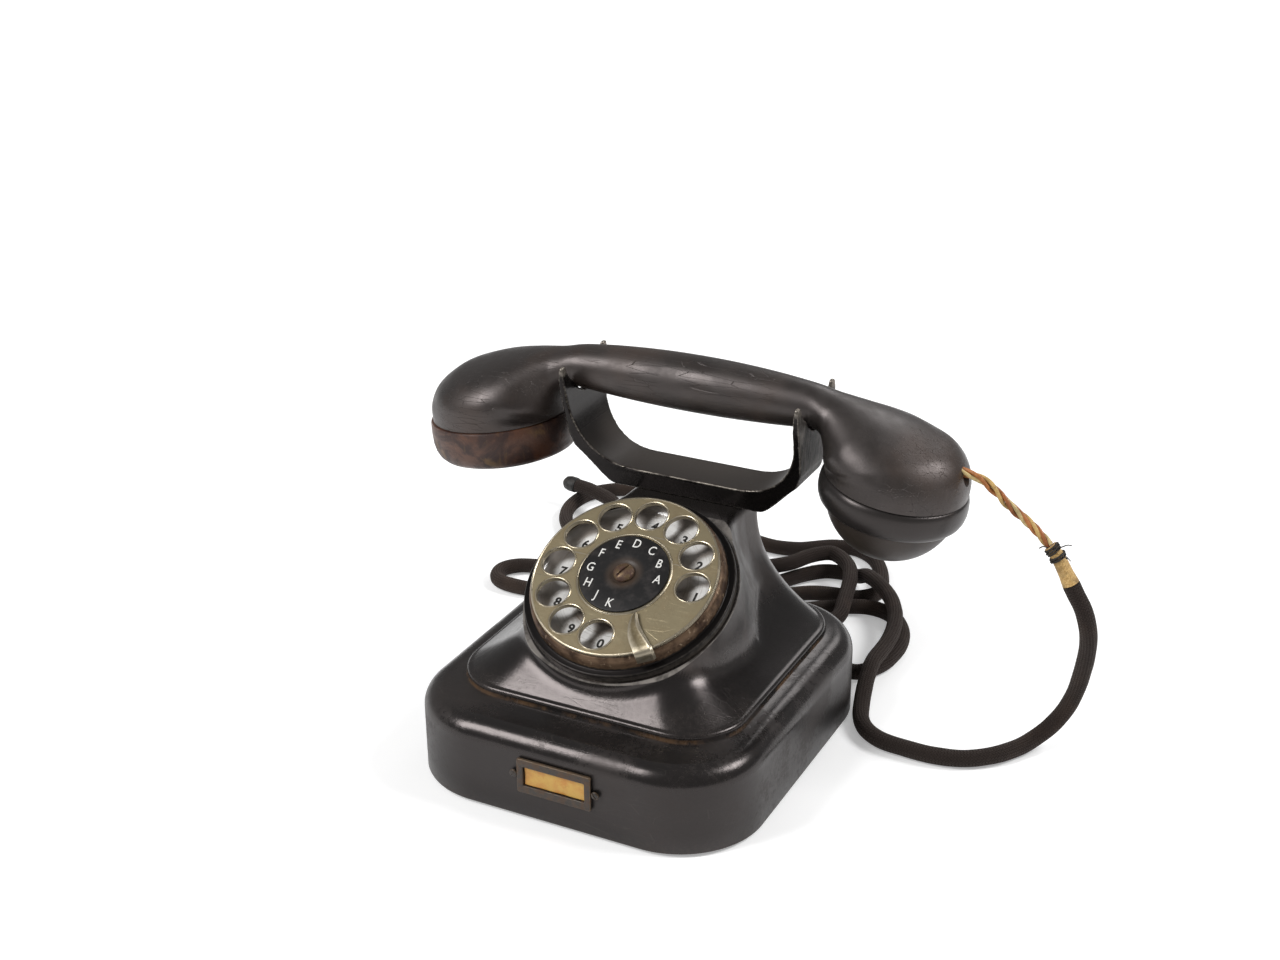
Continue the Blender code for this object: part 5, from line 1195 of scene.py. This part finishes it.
stop_rings = []
for i, (radius, left, right_end, height, ridge) in enumerate(STOP_STATIONS):
    before, after = STOP_STATIONS[max(i - 1, 0)], STOP_STATIONS[min(i + 1, len(STOP_STATIONS) - 1)]
    run = Vector((after[0] - before[0], after[3] - before[3])).normalized()
    over = dial_spot(1.0, (left + right_end) / 2, 0.0).normalized() * -run.y + Vector((0.0, 0.0, run.x))
    section = ((0.0, 0.0), (0.5, 0.05), (1.0, 0.0), (1.0, 0.35), (0.5 + 0.5 * ridge, 0.72), (ridge, 1.15),
               (ridge - 0.1, 0.92), (0.45 * ridge, 0.66), (0.12, 0.66), (0.0, 0.42))
    stop_rings.append([
        WHEEL_FRAME @ (dial_spot(radius, left + (right_end - left) * share, height) + over * rise * MM)
        for share, rise in section])
# the stop gets darker shades than the wheel, though it is the same brass: painted shade on its lit top
stop_brass = khaki("stop_brass", (0.165, 0.133, 0.078), (0.115, 0.09, 0.052), 0.48, 0.6)
finger_stop = loft("finger_stop_pressing", stop_rings, 40.0, stop_brass, "aged_brass")
settle(finger_stop, "base", "finger_stop")

# Cradle: one iron casting with a flat bar and four horns, finished in glossy black. Its front edges and horn
# tips are worn to bare metal, and its ends show the rough casting. It stands on a stem in a guide.


def curve_through(points, count):
    """A smooth curve through points in a plane, with count steps between each pair."""
    closed = [points[0]] + list(points) + [points[-1]]
    made = []
    for a, b, c, d in zip(closed, closed[1:], closed[2:], closed[3:]):
        for i in range(count):
            t = i / count
            made.append(tuple(0.5 * (2 * q + (r - p) * t + (2 * p - 5 * q + 4 * r - s) * t * t
                                     + (3 * q - p - 3 * r + s) * t ** 3) for p, q, r, s in zip(a, b, c, d)))
    return made + [tuple(points[-1])]


def mirrored(half):
    return half + [(-x, z) for x, z in reversed(half)]


# half outlines in millimetres: the front view's outer and inner line, and the side view over a horn
OUTER_LINE = [(29.6, 95.5), (35.6, 95.7), (40.6, 99.1), (49.4, 108.1), (53.1, 111.7), (54.2, 115.3),
              (55.3, 119.0), (56.0, 134.0), (56.0, 147.5), (55.5, 150.0)]
INNER_LINE = [(54.1, 150.0), (53.2, 140.0), (52.8, 132.0), (52.0, 126.0), (49.0, 118.5), (44.0, 112.0),
              (37.0, 107.3), (29.0, 105.3), (20.5, 105.0)]
SIDE_LINE = [(9.8, 92.5), (11.2, 103.0), (12.2, 108.0), (16.0, 125.0), (19.6, 138.0), (20.6, 144.0),
             (20.8, 147.6), (20.4, 149.6), (18.9, 150.3), (17.2, 149.7), (16.6, 147.8), (15.5, 145.4),
             (13.9, 143.4), (12.2, 142.4), (10.9, 141.0), (9.3, 139.1), (7.6, 137.3), (5.2, 135.7),
             (2.6, 134.8)]
CRADLE_Y = 51.2 * MM
CRADLE_AT = Matrix.Translation((PHONE_X, CRADLE_Y, 0.0))


def worn_iron_nodes(nodes):
    marks = nodes.wear(520.0, 38.0, 0.532)
    x, _, height = nodes.parts(nodes.place())
    to_right, _, upward = nodes.parts(nodes.normal())
    # the ends of the casting face outwards and are only thinly painted
    from_middle = x - PHONE_X
    end = (to_right * nodes.math("SIGN", from_middle)).between(0.55, 0.8)
    end *= nodes.math("ABSOLUTE", from_middle).between(50.0 * MM, 53.0 * MM)
    tip = (height + marks["Grain"] * 0.004).between(147.6 * MM, 150.4 * MM, 0.0, 0.75)
    # the inside of the bow is rubbed by the handle
    bow = upward.between(0.2, 0.75) * height.between(103.0 * MM, 104.4 * MM)
    rough_cast = nodes.noise(620.0, 5.0, 0.72, nodes.drawn_out())
    bare_cast = rough_cast.between(0.35, 0.65).blend((0.035, 0.03, 0.027), (0.17, 0.155, 0.14))
    bare = nodes.math("MAXIMUM", marks["Edge"] * nodes.noise(130.0, 4.0, 0.6).between(0.34, 0.56), tip)
    colour = layered(marks["Rubbed"].blend((0.0035, 0.0032, 0.003), (0.009, 0.008, 0.0075)),
                     (bow * 0.7, (0.05, 0.042, 0.036)),
                     (end * nodes.noise(60.0, 4.0, 0.6).between(0.3, 0.55, 0.45, 1.0), bare_cast),
                     (bare, rough_cast.blend((0.1, 0.088, 0.075), (0.42, 0.38, 0.33))))
    return (colour, bow.between(0.0, 1.0, 0.17, 0.46) + end * 0.3,
            (marks["Grain"] * 0.35 + end * rough_cast * 2.5, 0.00012), bare * 0.9)


worn_iron = finish("worn_black_iron", worn_iron_nodes, Specular_Tint=AGED_LACQUER, Specular_IOR_Level=0.2)
front_line = mirrored(curve_through(OUTER_LINE, 5) + curve_through(INNER_LINE, 5))
fork = flat("cradle_casting", front_line, -24.6, 24.6, 0.0, CRADLE_AT @ FACING, worn_iron, "cast_black")
carve(fork, flat("cradle_side", mirrored(SIDE_LINE), -64.0, 64.0, 0.0,
                 CRADLE_AT @ Matrix.Rotation(math.radians(90), 4, "Z") @ FACING), "INTERSECT")
rounded = fork.modifiers.new("rounded", "REMESH")
rounded.mode, rounded.voxel_size = "VOXEL", 0.45 * MM
eased = fork.modifiers.new("eased", "SMOOTH")
eased.factor, eased.iterations = 0.5, 9
fork.data = shaped(fork)
fork.modifiers.clear()
clothe(fork.data, worn_iron)
fork.data.shade_smooth()
settle(fork, "cradle", "cradle_fork")
dull_steel = finish("dull_steel", two_tone(
    spots=(90.0, 4.0, 0.6, 0.45, 0.7), tones=((0.36, 0.35, 0.34), (0.2, 0.17, 0.13)), rough=(0.28, 0.45),
    relief=(500.0, 4.0, 0.65, 0.00003)), Metallic=1.0)


def brown_moulding_nodes(nodes):
    """Pressed phenolic: a soft flow pattern and a little dust."""
    flow = nodes.noise(45.0, 4.0, 0.6, distortion=1.5)
    colour = layered(flow.between(0.36, 0.64).blend((0.03, 0.012, 0.007), (0.085, 0.036, 0.018)),
                     (nodes.noise(340.0, 4.0, 0.7).between(0.55, 0.78, 0.0, 0.5), (0.1, 0.085, 0.07)))
    return colour, flow.between(0.3, 0.7, 0.32, 0.5), (nodes.noise(900.0), 0.00004)


brown_moulding = finish("brown_moulding", brown_moulding_nodes)
paint_nodes(dull_steel, "cradle_stem")
paint_nodes(brown_moulding, "neck_guide")

# Handset handle: one hollow moulding in black phenolic, thick in the middle of the grip and turned down into
# a cup at each end. Years of handling have dulled it to brownish black. The wires enter a round hole.
CRADLE_HANDLE = Matrix.Translation((PHONE_X, CRADLE_Y, 144.6 * MM))
HANDLE_RADIUS = 12.4
HANDLE_END_RADIUS = 9.4
GRIP_REACH = 57.0
HANDLE_SIDES = 72
CUPS = (
    # direction, joint's middle (x, z), radius, tilt, and the outer line from the joint up to the grip, as
    # (out from the heel, up from the heel, half width)
    (-1, (-97.0, -28.0), 32.4, 7.6, (
        (64.2, -8.6, 32.4), (64.7, -2.5, 32.4), (63.3, 2.7, 32.3), (60.6, 7.4, 32.2), (55.8, 12.0, 31.8),
        (49.0, 16.6, 30.8), (37.0, 21.4, 28.6), (27.3, 24.4, 25.4), (19.4, 26.4, 21.8), (12.7, 28.2, 18.1),
        (6.4, 29.6, 14.6), (0.0, 30.4, 12.0))),
    (1, (92.2, -26.2), 30.4, 9.8, (
        (59.9, -10.3, 30.4), (60.6, -4.5, 30.4), (59.6, 1.3, 30.2), (57.0, 6.4, 29.9), (52.4, 11.0, 29.2),
        (46.2, 14.2, 28.5), (35.0, 19.2, 26.3), (25.4, 22.2, 23.6), (18.2, 24.2, 20.4), (12.0, 26.0, 17.1),
        (6.2, 27.6, 14.0), (0.0, 28.6, 11.8))))


def handle_section(inner, outer, half_width):
    """A ring round the line from its inner to its outer point, both (x, z)."""
    inner, outer = np.array(inner), np.array(outer)
    middle, reach = (inner + outer) / 2, (outer - inner) / 2
    ring = []
    for k in range(HANDLE_SIDES):
        turn = 2 * math.pi * k / HANDLE_SIDES
        x, z = middle + reach * math.cos(turn)
        ring.append(CRADLE_HANDLE @ Vector((x * MM, half_width * math.sin(turn) * MM, z * MM)))
    return ring


def grip_radius(x):
    share = max(1.0 - (x / GRIP_REACH) ** 2, 0.0)
    return HANDLE_END_RADIUS + (HANDLE_RADIUS - HANDLE_END_RADIUS) * share, 0.6 * share


HEEL_RISE = 4.6                     # straight part of the cup's inner wall
FAN_STEPS = 44
FILLET_STEPS = 12


def cup_sections(sign, joint, radius, tilt, outer_line):
    """Sections from the cup's rim, fanned round its inner wall, and on to the end of the grip."""
    tilt = math.radians(tilt)
    heel = np.array(joint) + np.array([-sign * math.cos(tilt), math.sin(tilt)]) * radius
    curve = np.array(curve_through(outer_line, 12))
    run = np.concatenate([[0.0], np.cumsum(np.linalg.norm(np.diff(curve, axis=0), axis=1))])
    made = []
    for i in range(FAN_STEPS):
        share = i / (FAN_STEPS - 1)
        out, up, half_width = (np.interp(share * run[-1], run, curve[:, k]) for k in range(3))
        inner = heel + np.array([0.0, HEEL_RISE * share ** 1.5])
        made.append((inner, heel + np.array([out * sign, up]), half_width))
    bottom, top, last_width = made[-1]
    end_radius, end_rise = grip_radius(GRIP_REACH)
    grip_x = sign * (GRIP_REACH - 0.6)
    low_end = -end_radius
    high_end = end_radius + end_rise
    for i in range(1, FILLET_STEPS + 1):
        share = i / FILLET_STEPS
        x = bottom[0] + (grip_x - bottom[0]) * (1 - math.cos(math.pi / 2 * share))
        left = (x - grip_x) / (bottom[0] - grip_x)
        low = low_end - (low_end - bottom[1]) * (1 - math.sqrt(max(1 - left * left, 0.0)))
        along = (x - bottom[0]) / (grip_x - bottom[0])
        high = top[1] + (high_end - top[1]) * along
        made.append((np.array([x, low]), np.array([x, high]), last_width + (end_radius - last_width) * along))
    return made


ear_rows, mouth_rows = [cup_sections(*cup) for cup in CUPS]
GRIP_XS = [GRIP_REACH * math.sin(math.radians(a)) for a in range(-84, 85, 4)]
grip_rows = []
for x in GRIP_XS:
    radius, rise = grip_radius(x)
    grip_rows.append((np.array([x, rise - radius]), np.array([x, rise + radius]), radius))
sections = ear_rows + grip_rows + mouth_rows[::-1]
# the upper line is faired where the cups run into the grip, so that no kink shows there
uppers = np.array([outer for _, outer, _ in sections])
half_widths = np.array([width for _, _, width in sections])
near_joint = np.clip((82 - abs(uppers[:, 0])) / 10, 0, 1) * np.clip((abs(uppers[:, 0]) - 40) / 10, 0, 1)
for _ in range(40):
    for line in (uppers, half_widths):
        ease = near_joint[1:-1].reshape((-1,) + (1,) * (line.ndim - 1))
        line[1:-1] += 0.25 * ease * (line[:-2] + line[2:] - 2 * line[1:-1])


def phenolic_nodes(nodes):
    marks, lines = nodes.wear(380.0, 24.0, 0.55), nodes.scratches(42.0, 0.014)
    cloud, fine = marks["Cloud"], nodes.noise(1300.0, 4.0, 0.7)
    colour = layered(cloud.blend((0.0125, 0.011, 0.0105), (0.022, 0.0185, 0.0165)),
                     (nodes.noise(16.0, 4.0, 0.6).between(0.42, 0.66) * 0.7, (0.04, 0.026, 0.019)),
                     (fine.between(0.62, 0.78, 0.0, 0.35), (0.1, 0.085, 0.072)),
                     (lines * 0.15, (0.09, 0.075, 0.065)))
    patch = nodes.noise(75.0, 4.0, 0.65).between(0.35, 0.65, -0.07, 0.07)
    return (colour, cloud.between(0.3, 0.7, 0.3, 0.42) + (patch + fine * 0.1),
            (fine * 0.2 + cloud - lines, 0.00022, 0.8))


phenolic = finish("black_phenolic", phenolic_nodes, Specular_Tint=AGED_LACQUER, Specular_IOR_Level=0.68)
handle = loft("handset_handle_moulding", [handle_section(row[0], upper, width)
                                          for row, upper, width in zip(sections, uppers, half_widths)],
              50.0, phenolic, "bakelite")
EAR_FRAME, MOUTH_FRAME = [
    CRADLE_HANDLE @ Matrix.Translation((joint[0] * MM, 0.0, joint[1] * MM)) @ Matrix.Rotation(
        math.radians(sign * tilt), 4, "Y") for sign, joint, _, tilt, _ in CUPS]
CUP_WALL = 3.0
for at, (_, _, radius, _, _) in zip((EAR_FRAME, MOUTH_FRAME), CUPS):
    inner = radius - CUP_WALL
    carve(handle, turned("cup_bore", [(0.0, 11.0), (14.3, 11.0), (14.3, 4.0), (inner, 4.0), (inner, -6.0),
                                      (0.0, -6.0)], at, 72))
wire_start, wire_next = in_place(WIRE_ROUTE[:2])
hole_way = (wire_next - wire_start).normalized().to_track_quat("Z", "Y").to_matrix().to_4x4()
carve(handle, turned("wire_hole", [(0.0, 10.0), (3.0, 10.0), (3.0, -2.0), (0.0, -2.0)],
                     Matrix.Translation(wire_start - Vector((0.0, 0.0, 2.6 * MM))) @ hole_way, 40))
settle(handle, "handset", "handset_handle")

# Ear cap: a screwed cap moulded in mottled brown phenolic, with a dished middle and a ring of sound holes.
# Behind it lies the receiver capsule.


def marbled_nodes(nodes):
    swirl, fine = nodes.noise(34.0, 5.0, 0.62, distortion=2.4), nodes.noise(520.0, 4.0, 0.7)
    ochre = nodes.noise(60.0, 4.0, 0.6, distortion=1.2).between(0.52, 0.66)
    colour = layered(swirl.between(0.4, 0.6).blend((0.085, 0.034, 0.018), (0.028, 0.011, 0.008)),
                     (ochre * 0.6, (0.16, 0.088, 0.03)),
                     (fine.between(0.58, 0.74, 0.0, 0.4), (0.17, 0.1, 0.06)))
    return colour, swirl.between(0.35, 0.65, 0.36, 0.55), (fine + swirl, 0.00012)


ear_profile = [(29.4, -0.3), (32.6, -0.3), (33.2, -0.5), (33.6, -1.3), (33.9, -6.0), (33.8, -10.5),
               (33.2, -13.6), (32.1, -16.0), (30.5, -17.7), (28.5, -18.5), (26.8, -18.8), (25.2, -18.7),
               (24.2, -18.2), (17.0, -16.2), (8.0, -14.9), (3.0, -14.4), (0.0, -14.3), (0.0, -12.2),
               (29.4, -12.2)]
mottled_phenolic = finish("mottled_phenolic", marbled_nodes)
ear_cap = turned("ear_cap_moulding", ear_profile, EAR_FRAME, 144, mottled_phenolic, "brown_bakelite")


def sound_holes(target, carrier, depth, rows):
    """Round holes in rings of (count, ring radius, hole radius), bored straight through."""
    bores = bmesh.new()
    for count, ring, radius in rows:
        for x, y in ring_points(ring, count):
            bmesh.ops.create_cone(bores, cap_ends=True, segments=20, radius1=radius * MM, radius2=radius * MM,
                                  depth=24 * MM,
                                  matrix=carrier @ Matrix.Translation(Vector((x, y, depth)) * MM))
    carve(target, piece("sound_holes", meshed("sound_holes", bores)))


sound_holes(ear_cap, EAR_FRAME, -16.0, ((1, 0.0, 1.5), (6, 6.0, 1.3), (12, 12.0, 1.2)))
settle(ear_cap, "handset", "ear_cap")
paint_nodes(dull_steel, "receiver_capsule")

# Mouth ring: a glossier black phenolic ring screwed over the mouth cup, where it clamps the mouth dome by
# its rim.


def ring_nodes(nodes):
    cloud, fine = nodes.noise(34.0, 3.0, 0.55), nodes.noise(1200.0, 4.0, 0.7)
    colour = layered(cloud.blend((0.009, 0.0085, 0.0085), (0.02, 0.0175, 0.016)),
                     (fine.between(0.62, 0.78, 0.0, 0.3), (0.09, 0.08, 0.07)))
    return colour, cloud.between(0.3, 0.7, 0.28, 0.4), (cloud + fine * 0.2, 0.00014)


ring_profile = [(27.4, -0.3), (29.5, -0.3), (30.2, -0.6), (30.9, -1.5), (31.4, -3.2), (31.65, -5.6),
                (31.6, -8.0), (31.2, -10.0), (30.4, -11.8), (29.4, -12.9), (28.5, -13.3), (27.9, -13.4),
                (27.7, -13.1), (27.7, -10.0), (27.4, -10.0)]
mouth_phenolic = finish("mouth_phenolic", ring_nodes, Specular_Tint=AGED_LACQUER)
mouth_ring = turned("mouth_ring_moulding", ring_profile, MOUTH_FRAME, 144, mouth_phenolic, "bakelite",
                    closed=True)
settle(mouth_ring, "handset", "mouth_ring")

# Mouth dome: a thin black phenolic bowl with a ring of sound holes in its top. It stands in front of the
# transmitter capsule and is held by the ring.


def dome_nodes(nodes):
    cloud, fine = nodes.noise(30.0, 4.0, 0.6), nodes.noise(1300.0, 4.0, 0.7)
    warm = nodes.noise(22.0, 4.0, 0.6).between(0.4, 0.62)
    colour = layered(warm.blend((0.011, 0.0095, 0.0088), (0.027, 0.021, 0.0165)),
                     (fine.between(0.6, 0.78, 0.0, 0.35), (0.11, 0.09, 0.07)))
    return colour, cloud.between(0.3, 0.7, 0.34, 0.48), (cloud + fine * 0.2, 0.00012)


DOME_RADIUS = 27.4
DOME_DEPTH = 21.6
DOME_TOP = -13.4
DOME_WALL = 2.5
DOME_RIM = -10.3
dome_ball = (DOME_RADIUS ** 2 + DOME_DEPTH ** 2) / (2 * DOME_DEPTH)
dome_centre = DOME_TOP - DOME_DEPTH + dome_ball
dome_turns = [math.asin(DOME_RADIUS / dome_ball) * (1 - i / 24) for i in range(25)]
outer, inner = [[(radius * math.sin(t), dome_centre - radius * math.cos(t)) for t in dome_turns]
                for radius in (dome_ball, dome_ball - DOME_WALL)]
dome_profile = [(DOME_RADIUS, DOME_RIM), *outer, *inner[::-1], (DOME_RADIUS - DOME_WALL, DOME_RIM)]
dome_phenolic = finish("dome_phenolic", dome_nodes, Specular_Tint=AGED_LACQUER)
dome = turned("mouth_dome_moulding", dome_profile, MOUTH_FRAME, 144, dome_phenolic, "bakelite", closed=True,
              sharp=50.0)
sound_holes(dome, MOUTH_FRAME, DOME_TOP - DOME_DEPTH, ((1, 0.0, 1.2), (6, 5.0, 1.1), (12, 10.0, 1.1)))
settle(dome, "handset", "mouth_dome")
paint_nodes(dull_steel, "transmitter_capsule")

# Works: the hook switch, the dial's gear train and the ringer are steel, brass and copper, with phenolic
# blocks for the contacts. None of them shows from outside.


def coil_nodes(nodes):
    wire = nodes.out("TexWave", "Fac", wave_type="BANDS", bands_direction="Y", wave_profile="SIN",
                     Vector=nodes.place(), Scale=900.0, Distortion=0.4)
    dirt = nodes.noise(200.0, 4.0, 0.6).between(0.45, 0.7)
    colour = layered(wire.blend((0.16, 0.05, 0.02), (0.42, 0.17, 0.07)), (dirt * 0.6, (0.08, 0.04, 0.025)))
    return colour, dirt.between(0.0, 1.0, 0.32, 0.6), (wire, 0.00015)


gear_brass = finish("gear_brass", two_tone(
    spots=(120.0, 4.0, 0.6, 0.38, 0.66), tones=((0.55, 0.4, 0.16), (0.3, 0.19, 0.07)), rough=(0.24, 0.45),
    relief=(800.0, 0.00003)), Metallic=1.0)
paint_nodes(gear_brass, "dial_gear", "pinion", "gong_left", "gong_right")
paint_nodes(finish("copper_wire", coil_nodes, Metallic=0.5), "ringer_coil_left", "ringer_coil_right",
            "induction_coil")
paint_nodes(brown_moulding, "pulse_cam", "pulse_contact_block", "hook_contact_set", "terminal_block")
paint_nodes(dull_steel, "dial_shaft", "pinion_shaft", "mainspring_drum", "hook_lever", "lever_pin",
            "hook_bracket", "gong_post_left", "gong_post_right", "ringer_yoke", "clapper", "clapper_pin",
            "capacitor_can")
